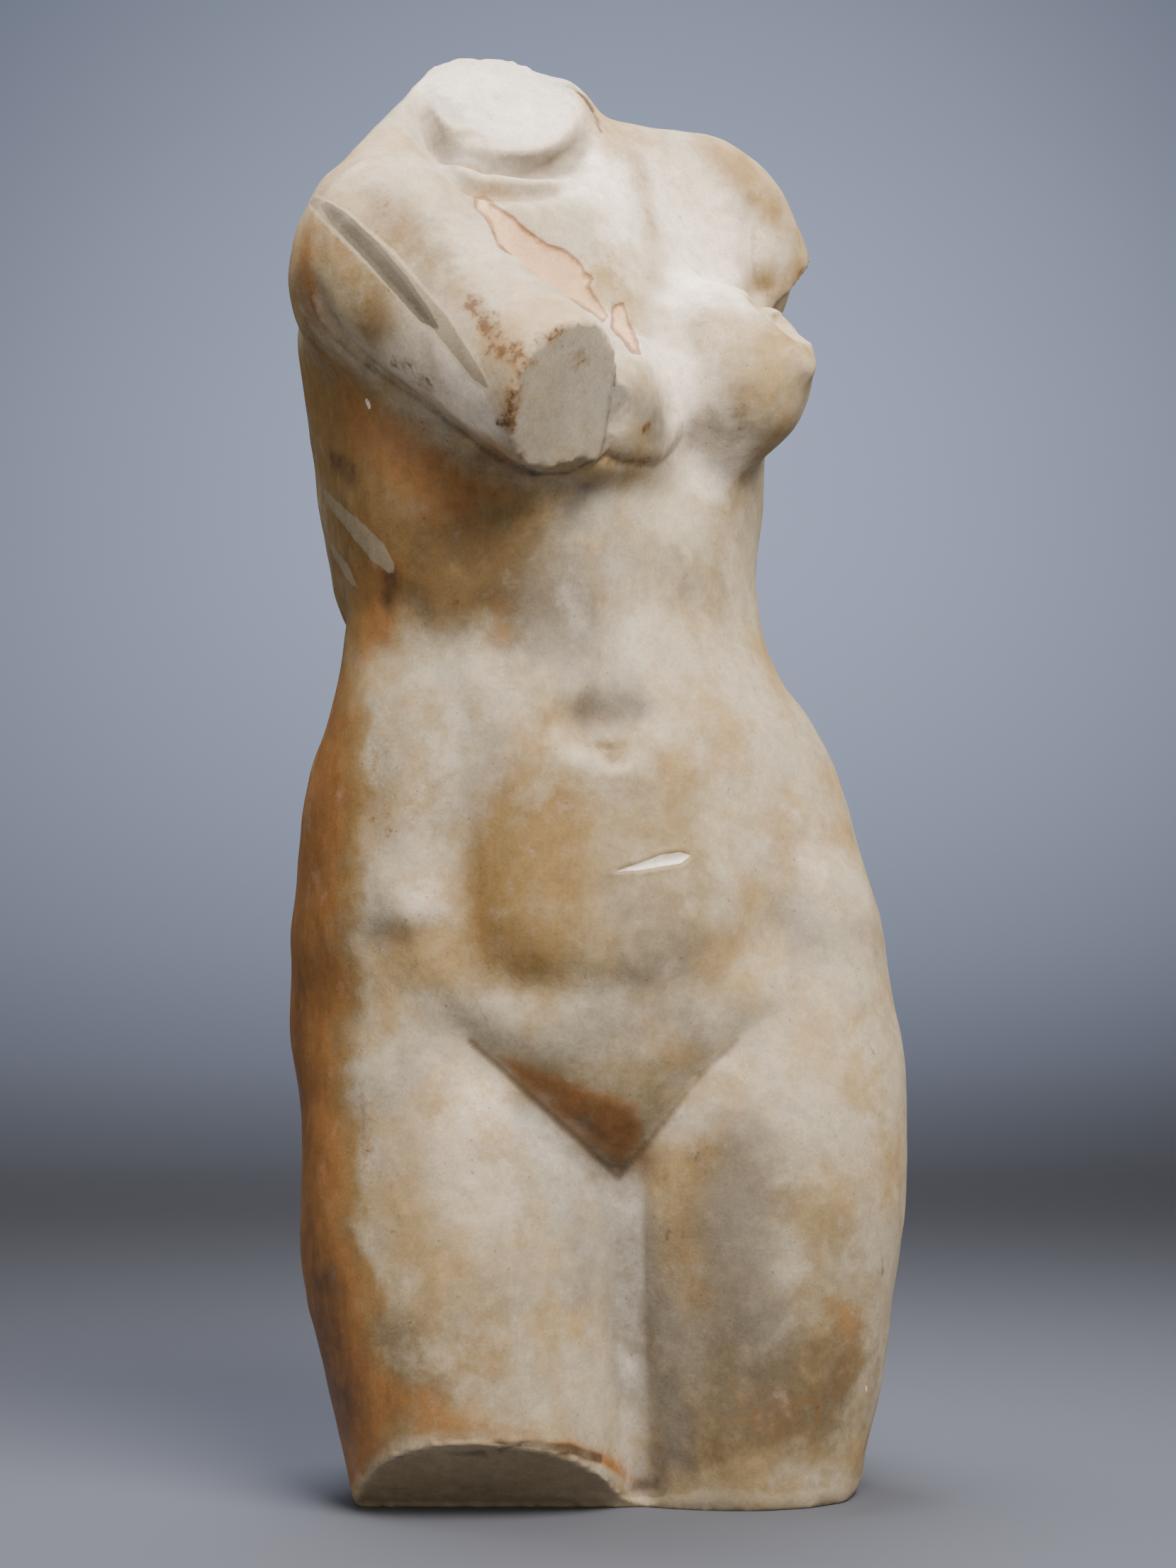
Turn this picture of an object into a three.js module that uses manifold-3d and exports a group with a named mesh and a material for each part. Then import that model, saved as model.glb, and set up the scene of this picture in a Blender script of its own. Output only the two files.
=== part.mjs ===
// A plaster torso of a woman in the classical manner: no head, the right upper arm drawn across the chest
// and cut off, the left arm cut at the shoulder, and both thighs cut off to stand on.
// It is one solid. Millimetres, +Z up. The pelvis faces -Y, the figure's left side is towards +X,
// and the origin is on the ground under the middle of the torso.

import * as THREE from "three";
import { mergeVertices } from "three/addons/utils/BufferGeometryUtils.js";
import Module from "manifold-3d";

// The height drives everything: the body is modelled near its size and scaled to this height.
const HEIGHT = 612;

// The level of the ground in the modelled body.
const GROUND = 9;

// The spacing of the grid that the surface is drawn on.
const GRID_SPACING = 10.7;

// The plaster, as seen in soft light.
const PLASTER = { color: 0xcfc3b0, roughness: 0.72, metalness: 0 };

// The figure is modelled as it is displayed, turned to show its right side, and turned back at the end.
const DISPLAY_TURN = 14;

// A body frame: x to the figure's left, y to its back, z up, turned about the vertical and leaned sideways.
function frame({ x, y, z, turn = 0, lean = 0, nod = 0 }) {
  const rotation = new THREE.Euler(
    THREE.MathUtils.degToRad(nod),
    THREE.MathUtils.degToRad(-lean),
    THREE.MathUtils.degToRad(turn),
    "ZYX",
  );
  return new THREE.Matrix4().makeRotationFromEuler(rotation).setPosition(x, y, z);
}

const PELVIS = frame({ x: -6, y: 8, z: 215, turn: DISPLAY_TURN, lean: 0 });
const CHEST = frame({ x: -18, y: 5, z: 475, turn: 43, lean: 10 });

// Joins and cuts of distance fields, each with a fillet of size k.
function join(a, b, k) {
  const h = Math.max(k - Math.abs(a - b), 0) / k;
  return Math.min(a, b) - (h * h * k) / 4;
}
const trim = (a, b, k) => -join(-a, -b, k);

const scratch = new THREE.Vector3();

// An ellipsoid with its centre in a body frame.
function ellipsoid(body, centre, radii, turn = 0, nod = 0, lean = 0) {
  const place = body
    .clone()
    .multiply(frame({ x: centre[0], y: centre[1], z: centre[2], turn, nod, lean }))
    .invert();
  const [rx, ry, rz] = radii;
  return (p) => {
    const q = scratch.copy(p).applyMatrix4(place);
    const k0 = Math.hypot(q.x / rx, q.y / ry, q.z / rz);
    const k1 = Math.hypot(q.x / rx ** 2, q.y / ry ** 2, q.z / rz ** 2);
    return k1 < 1e-9 ? -Math.min(rx, ry, rz) : (k0 * (k0 - 1)) / k1;
  };
}

// A limb: a rod whose radius changes from one end to the other, with round ends.
function limb(body, from, to, startRadius, endRadius) {
  const a = new THREE.Vector3(...from).applyMatrix4(body);
  const b = new THREE.Vector3(...to).applyMatrix4(body);
  const axis = b.clone().sub(a);
  const length = axis.length();
  axis.normalize();
  const slope = (startRadius - endRadius) / length;
  const cosine = Math.sqrt(1 - slope * slope);
  return (p) => {
    const q = scratch.copy(p).sub(a);
    const along = q.dot(axis);
    const out = Math.sqrt(Math.max(q.lengthSq() - along * along, 0));
    const t = THREE.MathUtils.clamp((along + (out * slope) / cosine) / length, 0, 1);
    const radius = startRadius + (endRadius - startRadius) * t;
    return Math.hypot(out, along - t * length) - radius;
  };
}

// A value along a list of levels, on a smooth curve through them.
function alongLevels(levels, key) {
  return (z) => {
    const last = levels.length - 1;
    let i = 0;
    while (i < last - 1 && z > levels[i + 1].z) i += 1;
    const [before, low, high, after] = [i - 1, i, i + 1, i + 2].map(
      (n) => levels[THREE.MathUtils.clamp(n, 0, last)],
    );
    const span = high.z - low.z;
    const t = THREE.MathUtils.clamp((z - low.z) / span, 0, 1);
    const slopeLow = ((high[key] - before[key]) / (high.z - before.z || 1)) * span;
    const slopeHigh = ((after[key] - low[key]) / (after.z - low.z || 1)) * span;
    const t2 = t * t;
    const t3 = t2 * t;
    return (
      (2 * t3 - 3 * t2 + 1) * low[key] +
      (t3 - 2 * t2 + t) * slopeLow +
      (3 * t2 - 2 * t3) * high[key] +
      (t3 - t2) * slopeHigh
    );
  };
}

// A body part given by its level cuts, from the lowest up. Each is an oval, turned about the vertical.
function lofted(levels, squareness, endRounding) {
  const keys = ["x", "y", "half", "front", "back", "turn"];
  const at = Object.fromEntries(keys.map((key) => [key, alongLevels(levels, key)]));
  const bottom = levels[0].z;
  const top = levels[levels.length - 1].z;
  return (p) => {
    const z = THREE.MathUtils.clamp(p.z, bottom, top);
    const turn = THREE.MathUtils.degToRad(at.turn(z));
    const dx = p.x - at.x(z);
    const dy = p.y - at.y(z);
    const side = dx * Math.cos(turn) + dy * Math.sin(turn);
    const depth = dy * Math.cos(turn) - dx * Math.sin(turn);
    const half = at.half(z);
    const deep = depth < 0 ? at.front(z) : at.back(z);
    const u = Math.abs(side) / half;
    const v = Math.abs(depth) / deep;
    const reach = (u ** squareness + v ** squareness) ** (1 / squareness);
    if (reach < 1e-6) return -Math.min(half, deep);
    const slope =
      Math.hypot(u ** (squareness - 1) / half, v ** (squareness - 1) / deep) *
      reach ** (1 - squareness);
    const wall = (reach - 1) / slope;
    const ends = Math.max(bottom - p.z, p.z - top);
    return trim(wall, ends, endRounding);
  };
}

// The trunk from the pubic bone to the root of the neck. Its lowest part is a wedge between the thighs.
const TRUNK = lofted(
  [
    { z: 126, x: 5, y: 8, half: 16, front: 44, back: 40, turn: 12 },
    { z: 150, x: 4, y: 8, half: 30, front: 54, back: 54, turn: 12 },
    { z: 175, x: 2, y: 8, half: 62, front: 64, back: 66, turn: 12 },
    { z: 200, x: -2, y: 8, half: 92, front: 70, back: 72, turn: 13 },
    { z: 235, x: -8, y: 8, half: 121, front: 74, back: 76, turn: 14 },
    { z: 268, x: -11, y: 7, half: 122, front: 75, back: 68, turn: 15 },
    { z: 309, x: -14, y: 4, half: 116, front: 71, back: 58, turn: 19 },
    { z: 334, x: -16, y: 2, half: 108, front: 66, back: 54, turn: 23 },
    { z: 362, x: -22, y: 2, half: 97, front: 62, back: 54, turn: 29 },
    { z: 395, x: -25, y: 4, half: 96, front: 62, back: 58, turn: 35 },
    { z: 430, x: -24, y: 5, half: 102, front: 63, back: 64, turn: 40 },
    { z: 475, x: -22, y: 6, half: 104, front: 58, back: 68, turn: 43 },
    { z: 515, x: -25, y: 4, half: 98, front: 48, back: 64, turn: 43 },
    { z: 545, x: -28, y: 2, half: 84, front: 36, back: 52, turn: 43 },
    { z: 566, x: -32, y: 2, half: 56, front: 24, back: 38, turn: 43 },
  ],
  2.2,
  14,
);

// The right thigh is the forward one. Both run up into the hips and a little below the ground.
const RIGHT_THIGH = lofted(
  [
    { z: -10, x: -46, y: -24, half: 56, front: 54, back: 52, turn: 8 },
    { z: 45, x: -54, y: -20, half: 61, front: 58, back: 58, turn: 8 },
    { z: 110, x: -61, y: -12, half: 68, front: 62, back: 64, turn: 9 },
    { z: 170, x: -64, y: -6, half: 66, front: 62, back: 68, turn: 10 },
    { z: 215, x: -71, y: 0, half: 63, front: 58, back: 64, turn: 12 },
    { z: 262, x: -69, y: 4, half: 53, front: 50, back: 54, turn: 14 },
  ],
  2.15,
  26,
);
const LEFT_THIGH = lofted(
  [
    { z: -10, x: 54, y: 4, half: 48, front: 46, back: 50, turn: 10 },
    { z: 45, x: 57, y: 1, half: 55, front: 52, back: 54, turn: 10 },
    { z: 110, x: 61, y: 1, half: 62, front: 58, back: 60, turn: 10 },
    { z: 170, x: 62, y: 5, half: 64, front: 60, back: 62, turn: 10 },
    { z: 215, x: 61, y: 13, half: 60, front: 56, back: 58, turn: 12 },
    { z: 262, x: 54, y: 16, half: 50, front: 48, back: 50, turn: 14 },
  ],
  2.15,
  26,
);

const WHOLE = new THREE.Matrix4();

const BELLY = ellipsoid(PELVIS, [0, -34, 28], [62, 48, 66]);
const MOUND = ellipsoid(PELVIS, [2, -40, -34], [36, 26, 34], 0, 14);
const RIGHT_HIP_BONE = ellipsoid(PELVIS, [-82, -34, 40], [26, 20, 22]);
const LEFT_HIP_BONE = ellipsoid(PELVIS, [82, -35, 38], [25, 20, 22]);
const RIGHT_BUTTOCK = ellipsoid(PELVIS, [-52, 46, -18], [58, 44, 56]);
const LEFT_BUTTOCK = ellipsoid(PELVIS, [52, 44, -12], [58, 44, 58]);

const RIGHT_BREAST = ellipsoid(CHEST, [-38, -41, -2], [42, 40, 42], -14);
const LEFT_BREAST = ellipsoid(CHEST, [42, -46, -1], [41, 42, 41], 14);
const LEFT_NIPPLE = limb(CHEST, [46, -60, 2], [56, -82, 5], 28, 12);

const RIGHT_SHOULDER = ellipsoid(CHEST, [-88, 2, 56], [40, 38, 40]);
const LEFT_SHOULDER = ellipsoid(CHEST, [98, 0, 49], [35, 36, 39]);
const RIGHT_COLLAR = limb(CHEST, [-20, 0, 76], [-84, 0, 70], 20, 26);
const LEFT_COLLAR = limb(CHEST, [20, 2, 78], [86, 4, 64], 19, 24);
const RIGHT_NECK_SLOPE = limb(WHOLE, [-68, 6, 602], [-98, -46, 544], 14, 24);
const LEFT_NECK_SLOPE = limb(WHOLE, [-24, 18, 579], [37, 50, 571], 18, 22);
const RIGHT_FLANK = limb(WHOLE, [-93, -8, 496], [-88, 10, 398], 39, 30);
const LEFT_FLANK = limb(WHOLE, [28, 50, 505], [16, 36, 410], 33, 26);
const RIGHT_BLADE = ellipsoid(CHEST, [-50, 50, 22], [30, 18, 42], 0, 0, -12);
const LEFT_BLADE = ellipsoid(CHEST, [50, 50, 22], [30, 18, 42], 0, 0, 12);

// The saw cuts: a point on each cut face, the way it faces, and the size of the drum cut away.
const NECK_CUT = { at: [-42, -6, 597], normal: [0.16, -0.67, 0.72], radius: 60, depth: 90 };
const RIGHT_ARM_CUT = { at: [-19, -112, 460], normal: [0.73, -0.56, -0.4], radius: 44, depth: 70 };
const LEFT_ARM_CUT = { at: [66, 72, 523], normal: [0.62, 0.26, -0.74], radius: 46, depth: 70 };

const RIGHT_ARM = limb(WHOLE, [-89, -58, 518], [-5, -124, 451], 38.5, 31);
const LEFT_ARM = limb(WHOLE, [47, 58, 549], [68, 72, 510], 33, 31);
const NECK = limb(WHOLE, [-35, 10, 545], [-47, -10, 622], 29, 28);
const WEB = lofted(
  [
    { z: -15, x: 13, y: 2, half: 26, front: 36, back: 40, turn: 8 },
    { z: 80, x: 8, y: 2, half: 26, front: 39, back: 44, turn: 8 },
    { z: 176, x: 3, y: 2, half: 26, front: 44, back: 62, turn: 8 },
  ],
  2,
  12,
);
const HAIR = ellipsoid(WHOLE, [-20, 20, 588], [16, 18, 22]);

// Where a point is seen from the front, by an eye on a level with the waist.
const EYE = { x: -9, z: 309, distance: 1700 };
function seenFromFront(p) {
  const scale = EYE.distance / (EYE.distance + p.y);
  return [EYE.x + (p.x - EYE.x) * scale, EYE.z + (p.z - EYE.z) * scale];
}

// A groove along a line of points, each an across, an up and a depth. A swell has negative depths.
function groove(width, line) {
  return (u, v) => {
    let nearest = Infinity;
    let depth = 0;
    for (let i = 0; i < line.length - 1; i += 1) {
      const [u0, v0, depth0] = line[i];
      const [u1, v1, depth1] = line[i + 1];
      const [du, dv] = [u1 - u0, v1 - v0];
      const t = THREE.MathUtils.clamp(((u - u0) * du + (v - v0) * dv) / (du * du + dv * dv), 0, 1);
      const away = Math.hypot(u - u0 - t * du, v - v0 - t * dv);
      if (away >= nearest) continue;
      nearest = away;
      depth = depth0 + (depth1 - depth0) * t;
    }
    return depth * Math.exp(-((nearest / width) ** 2));
  };
}

const FRONT_GROOVES = {
  rightGroin: groove(12, [[-98, 240, 2], [-56, 197, 5], [-26, 171, 6], [5, 147, 5]]),
  leftGroin: groove(12, [[100, 240, 2], [56, 200, 5], [30, 174, 6], [5, 147, 5]]),
  betweenThighs: groove(9, [[6, 144, 4], [8, 110, 5], [10, 60, 5], [14, 5, 4]]),
  underBelly: groove(14, [[-62, 236, 3], [-40, 222, 4], [5, 218, 2.5], [40, 222, 3.5], [64, 238, 3]]),
  besideRightHipBone: groove(15, [[-50, 318, 2], [-62, 280, 4.5], [-64, 250, 5]]),
  besideLeftHipBone: groove(15, [[56, 312, 2], [70, 278, 4], [70, 248, 5]]),
  navel: groove(9, [[2, 343, 5], [0, 328, 5]]),
  midline: groove(12, [[22, 426, 3], [12, 395, 3], [4, 352, 4]]),
  betweenBreasts: groove(13, [[-14, 552, 1], [14, 520, 3], [33, 485, 7], [33, 455, 7], [24, 430, 4]]),
  rightRibs: groove(15, [[-104, 384, 3], [-74, 368, 4], [-34, 372, 3]]),
  leftRibs: groove(15, [[62, 372, 2], [40, 378, 3], [24, 384, 2]]),
  aboveArm: groove(8, [[-62, 562, 4], [-30, 530, 5], [2, 494, 6]]),
};
const BACK_GROOVES = {
  spine: groove(13, [[-50, 545, 3], [-58, 475, 7], [-50, 400, 8], [-38, 330, 8], [-28, 262, 5]]),
  betweenButtocks: groove(11, [[-26, 236, 6], [-24, 200, 11], [-20, 160, 6], [-16, 130, 3], [-6, 0, 4]]),
  underRightButtock: groove(12, [[-96, 166, 3], [-64, 154, 7], [-34, 154, 3]]),
  underLeftButtock: groove(12, [[-8, 158, 3], [24, 160, 7], [60, 172, 3]]),
};
const frontGrooves = Object.values(FRONT_GROOVES);
const backGrooves = Object.values(BACK_GROOVES);

function carving(p) {
  const front = THREE.MathUtils.smoothstep(-p.y, -2, 18);
  const back = THREE.MathUtils.smoothstep(p.y, 8, 30);
  if (front > 0) {
    const [u, v] = seenFromFront(p);
    return front * frontGrooves.reduce((sum, depth) => sum + depth(u, v), 0);
  }
  return back * backGrooves.reduce((sum, depth) => sum + depth(p.x, p.z), 0);
}

// The body as one distance field, without its arms and with them.
function bodyWithoutArms(p) {
  let d = join(RIGHT_THIGH(p), LEFT_THIGH(p), 8);
  d = join(d, WEB(p), 20);
  d = join(d, TRUNK(p), 24);
  d = join(d, join(RIGHT_BUTTOCK(p), LEFT_BUTTOCK(p), 6), 22);
  d = join(d, BELLY(p), 16);
  d = join(d, MOUND(p), 15);
  d = join(d, join(RIGHT_HIP_BONE(p), LEFT_HIP_BONE(p), 8), 20);
  d = join(d, join(RIGHT_FLANK(p), LEFT_FLANK(p), 10), 22);
  d = join(d, join(RIGHT_BLADE(p), LEFT_BLADE(p), 8), 20);
  d = join(d, join(RIGHT_COLLAR(p), LEFT_COLLAR(p), 10), 24);
  d = join(d, join(RIGHT_SHOULDER(p), LEFT_SHOULDER(p), 10), 20);
  d = join(d, join(RIGHT_NECK_SLOPE(p), LEFT_NECK_SLOPE(p), 10), 16);
  d = join(d, RIGHT_BREAST(p), 9);
  d = join(d, join(LEFT_BREAST(p), LEFT_NIPPLE(p), 8), 11);
  d = join(d, NECK(p), 10);
  d = join(d, HAIR(p), 6);
  return d + carving(p);
}
const body = (p) => join(bodyWithoutArms(p), join(LEFT_ARM(p), RIGHT_ARM(p), 10), 13);

// The lines of a grid: from the first, in runs that each go up to a place at about a spacing.
function gridLines(first, runs) {
  const lines = [first];
  for (const { upTo, spacing } of runs) {
    const from = lines[lines.length - 1];
    const steps = Math.ceil((upTo - from) / spacing);
    for (let i = 1; i <= steps; i += 1) lines.push(from + ((upTo - from) * i) / steps);
  }
  return lines;
}

// Where a distance field is zero, drawn as a closed mesh: one vertex in each grid cell that the surface
// passes through, drawn onto the surface, and one four-sided face across each grid edge that it crosses.
function surfaceOf(field, xs, ys, zs) {
  const index = (i, j, k) => (k * ys.length + j) * xs.length + i;
  const corner = (i, j, k) => new THREE.Vector3(xs[i], ys[j], zs[k]);
  const values = new Float64Array(xs.length * ys.length * zs.length);
  for (let k = 0; k < zs.length; k += 1)
    for (let j = 0; j < ys.length; j += 1)
      for (let i = 0; i < xs.length; i += 1) values[index(i, j, k)] = field(corner(i, j, k));
  fillCrossedFaces(values, xs.length, ys.length, zs.length);

  const steps = [0, 1];
  const edges = [];
  for (const a of steps)
    for (const b of steps)
      edges.push(
        [[0, a, b], [1, a, b]],
        [[a, 0, b], [a, 1, b]],
        [[a, b, 0], [a, b, 1]],
      );

  const positions = [];
  const vertexOf = new Map();
  for (let k = 0; k < zs.length - 1; k += 1)
    for (let j = 0; j < ys.length - 1; j += 1)
      for (let i = 0; i < xs.length - 1; i += 1) {
        const sum = new THREE.Vector3();
        let crossings = 0;
        for (const [from, to] of edges) {
          const a = values[index(i + from[0], j + from[1], k + from[2])];
          const b = values[index(i + to[0], j + to[1], k + to[2])];
          if (a < 0 === b < 0) continue;
          const start = corner(i + from[0], j + from[1], k + from[2]);
          const end = corner(i + to[0], j + to[1], k + to[2]);
          sum.add(start.lerp(end, a / (a - b)));
          crossings += 1;
        }
        if (!crossings) continue;
        const point = ontoSurface(field, sum.divideScalar(crossings));
        vertexOf.set(index(i, j, k), positions.length / 3);
        positions.push(point.x, point.y, point.z);
      }

  const faces = [];
  const axes = [
    [1, 0, 0],
    [0, 1, 0],
    [0, 0, 1],
  ];
  for (let k = 1; k < zs.length - 1; k += 1)
    for (let j = 1; j < ys.length - 1; j += 1)
      for (let i = 1; i < xs.length - 1; i += 1)
        axes.forEach((axis, n) => {
          const inside = values[index(i, j, k)] < 0;
          if (inside === values[index(i + axis[0], j + axis[1], k + axis[2])] < 0) return;
          const u = axes[(n + 1) % 3];
          const v = axes[(n + 2) % 3];
          const quad = [
            [0, 0],
            [1, 0],
            [1, 1],
            [0, 1],
          ].map(([a, b]) =>
            vertexOf.get(
              index(i - a * u[0] - b * v[0], j - a * u[1] - b * v[1], k - a * u[2] - b * v[2]),
            ),
          );
          if (!inside) quad.reverse();
          faces.push(quad[0], quad[1], quad[2], quad[0], quad[2], quad[3]);
        });
  return new THREE.BufferGeometry()
    .setAttribute("position", new THREE.Float32BufferAttribute(positions, 3))
    .setIndex(faces);
}

// Where two opposite corners of a cell's face are inside and the other two outside, the surface would
// touch itself along an edge. The outside corner that is nearer the surface is filled.
function fillCrossedFaces(values, nx, ny, nz) {
  const strides = [1, nx, nx * ny];
  const counts = [nx, ny, nz];
  const JUST_INSIDE = -1e-3;
  for (let filled = 1; filled; ) {
    filled = 0;
    for (let n = 0; n < 3; n += 1) {
      const [u, v] = [(n + 1) % 3, (n + 2) % 3];
      for (let c = 0; c < counts[n]; c += 1)
        for (let b = 0; b < counts[v] - 1; b += 1)
          for (let a = 0; a < counts[u] - 1; a += 1) {
            const base = c * strides[n] + b * strides[v] + a * strides[u];
            const ring = [base, base + strides[u], base + strides[u] + strides[v], base + strides[v]];
            const [p, q, r, s] = ring.map((place) => values[place] < 0);
            if (p !== r || q !== s || p === q) continue;
            const outside = p ? [ring[1], ring[3]] : [ring[0], ring[2]];
            const nearer = values[outside[0]] < values[outside[1]] ? outside[0] : outside[1];
            values[nearer] = JUST_INSIDE;
            filled += 1;
          }
    }
  }
}

// A point moved onto the surface along the field's slope, by a few millimetres at most.
function ontoSurface(field, point) {
  const start = point.clone();
  const reach = 0.5;
  const furthest = 4;
  for (let step = 0; step < 4; step += 1) {
    const slope = new THREE.Vector3(
      ...["x", "y", "z"].map((axis) => {
        const ahead = point.clone();
        const behind = point.clone();
        ahead[axis] += reach;
        behind[axis] -= reach;
        return (field(ahead) - field(behind)) / (2 * reach);
      }),
    );
    point.addScaledVector(slope, -field(point) / Math.max(slope.lengthSq(), 0.2));
  }
  const move = point.clone().sub(start);
  return start.add(move.clampLength(0, furthest));
}

const wasm = await Module();
wasm.setup();

// A closed three.js mesh as a solid for joining and cutting.
function solidOf(geometry, matrix = new THREE.Matrix4()) {
  const bare = geometry.clone();
  bare.deleteAttribute("normal");
  bare.deleteAttribute("uv");
  bare.applyMatrix4(matrix);
  const merged = mergeVertices(bare, 1e-4);
  return new wasm.Manifold(
    new wasm.Mesh({
      numProp: 3,
      vertProperties: new Float32Array(merged.attributes.position.array),
      triVerts: new Uint32Array(merged.index.array),
    }),
  );
}

function geometryOf(solid) {
  const mesh = solid.getMesh();
  const geometry = new THREE.BufferGeometry()
    .setAttribute("position", new THREE.Float32BufferAttribute(mesh.vertProperties, 3))
    .setIndex(Array.from(mesh.triVerts));
  geometry.computeVertexNormals();
  return geometry;
}

function sawCut({ at, normal, radius, depth }) {
  const out = new THREE.Vector3(...normal).normalize();
  const middle = new THREE.Vector3(...at).addScaledVector(out, depth / 2);
  const turn = new THREE.Quaternion().setFromUnitVectors(new THREE.Vector3(0, 1, 0), out);
  const place = new THREE.Matrix4().compose(middle, turn, new THREE.Vector3(1, 1, 1));
  return solidOf(new THREE.CylinderGeometry(radius, radius, depth, 24), place);
}

// The room that the grid fills: it holds the whole body, from below the ground to above the neck.
const ROOM = { right: -160, left: 150, front: -175, back: 150, bottom: -45, top: 665 };

// The grid is finer where the carving is finer: at the groin and from the breasts up.
const across = gridLines(ROOM.right, [{ upTo: ROOM.left, spacing: GRID_SPACING }]);
const deep = gridLines(ROOM.front, [{ upTo: ROOM.back, spacing: GRID_SPACING }]);
const levels = gridLines(ROOM.bottom, [
  { upTo: 135, spacing: 1.7 * GRID_SPACING },
  { upTo: 245, spacing: 0.9 * GRID_SPACING },
  { upTo: 420, spacing: 1.6 * GRID_SPACING },
  { upTo: ROOM.top, spacing: 0.95 * GRID_SPACING },
]);
let solid = solidOf(surfaceOf(body, across, deep, levels));
const armless = solidOf(surfaceOf(bodyWithoutArms, across, deep, levels));

// What reaches below the ground is cut away right across the room, so the thighs end level.
const belowGround = new THREE.Box3(
  new THREE.Vector3(ROOM.right, ROOM.front, ROOM.bottom),
  new THREE.Vector3(ROOM.left, ROOM.back, GROUND),
);
const block = new THREE.BoxGeometry(...belowGround.getSize(new THREE.Vector3()));
const middle = belowGround.getCenter(new THREE.Vector3());
solid = solid.subtract(solidOf(block, new THREE.Matrix4().setPosition(middle)));
solid = solid.subtract(sawCut(NECK_CUT));

// The arms' cuts take no more than the arms, and leave the breast and the side behind them whole.
for (const cut of [RIGHT_ARM_CUT, LEFT_ARM_CUT]) {
  solid = solid.subtract(sawCut(cut).subtract(armless));
}

// The right thigh's oblique cut, from the ground up to the front. It is sawn right through.
const THIGH_CUT = { right: 12, left: -140, y: -34, rise: 37, depth: 60 };
function thighCut({ right, left, y, rise, depth }) {
  const length = 2 * depth;
  const wedge = new THREE.BoxGeometry(right - left, length, depth);
  wedge.translate((right + left) / 2, -length / 2, -depth / 2);
  const slope = new THREE.Matrix4()
    .makeRotationX(-THREE.MathUtils.degToRad(rise))
    .setPosition(0, y, GROUND);
  return solidOf(wedge, slope);
}
solid = solid.subtract(thighCut(THIGH_CUT));

// Turned so that the pelvis faces the front, set on the ground over the origin and sized.
const geometry = geometryOf(solid);
geometry.rotateZ(-THREE.MathUtils.degToRad(DISPLAY_TURN));
geometry.computeBoundingBox();
const { min, max } = geometry.boundingBox;
geometry.translate(-(min.x + max.x) / 2, -(min.y + max.y) / 2, -min.z);
geometry.scale(...Array(3).fill(HEIGHT / (max.z - min.z)));

const torso = new THREE.Mesh(geometry, new THREE.MeshStandardMaterial(PLASTER));
torso.name = "plaster_torso";

const group = new THREE.Group();
group.add(torso);

export default group;
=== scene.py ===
import math

import bmesh
import bpy
import numpy as np
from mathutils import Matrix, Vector
from mathutils.bvhtree import BVHTree


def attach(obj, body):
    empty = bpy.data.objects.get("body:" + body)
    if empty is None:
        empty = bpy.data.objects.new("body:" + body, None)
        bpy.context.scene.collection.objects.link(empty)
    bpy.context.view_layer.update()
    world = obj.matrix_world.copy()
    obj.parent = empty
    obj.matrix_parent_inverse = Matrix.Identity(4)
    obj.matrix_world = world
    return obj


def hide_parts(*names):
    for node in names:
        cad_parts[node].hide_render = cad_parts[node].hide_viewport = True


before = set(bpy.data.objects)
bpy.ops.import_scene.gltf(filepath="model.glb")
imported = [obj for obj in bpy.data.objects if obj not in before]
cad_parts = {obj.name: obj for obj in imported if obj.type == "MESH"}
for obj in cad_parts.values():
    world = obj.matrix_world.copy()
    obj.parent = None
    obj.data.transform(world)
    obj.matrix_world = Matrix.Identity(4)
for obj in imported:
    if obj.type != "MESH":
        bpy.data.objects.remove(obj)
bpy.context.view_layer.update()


# The view. The torso stands on a pale table before a plain grey-blue backdrop, and is seen level with
# its waist from about 1.7 metres away.
MM = 0.001
SENSOR = 36.0
LENS = 92.2
EYE = Vector((-410.7, -1631.6, 299.7)) * MM
EYE_TURN = math.radians(-14)

camera_data = bpy.data.cameras.new("view")
camera_data.sensor_width = SENSOR
camera_data.lens = LENS
camera = bpy.data.objects.new("view", camera_data)
bpy.context.scene.collection.objects.link(camera)
camera.location = EYE
camera.rotation_euler = (math.radians(90), 0, EYE_TURN)
bpy.context.scene.camera = camera


# The cast. Plaster of Paris was poured in a piece mould, and the neck, arms and thighs were sawn flat. The
# body between the cuts is smooth, so the solid is drawn afresh in small even faces and its facets are eased.
CAST_FACE = 2.8 * MM

# Each saw cut has its middle in millimetres, the way it faces, and how far it reaches from its middle. A
# point is on it where the surface faces nearly the same way.
SQUARE_ON = 0.8
SAW_CUTS = {
    "neck": {"at": (-33.3, 18.5, 587.4), "facing": (-0.007, -0.691, 0.723), "reach": 37},
    "right_arm": {"at": (-36.6, -89.8, 450.6), "facing": (0.571, -0.718, -0.399), "reach": 42},
    "left_arm": {"at": (90.3, 68.0, 513.5), "facing": (0.665, 0.102, -0.740), "reach": 42},
    "thigh": {"at": (-57.5, -22.0, 13.4), "facing": (-0.146, -0.584, -0.799), "reach": 78},
    "ground": {"at": (0, 0, 0), "facing": (0, 0, -1), "reach": 200},
}

cast = bpy.data.objects.new("torso_cast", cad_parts["plaster_torso"].data.copy())
bpy.context.scene.collection.objects.link(cast)

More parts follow.
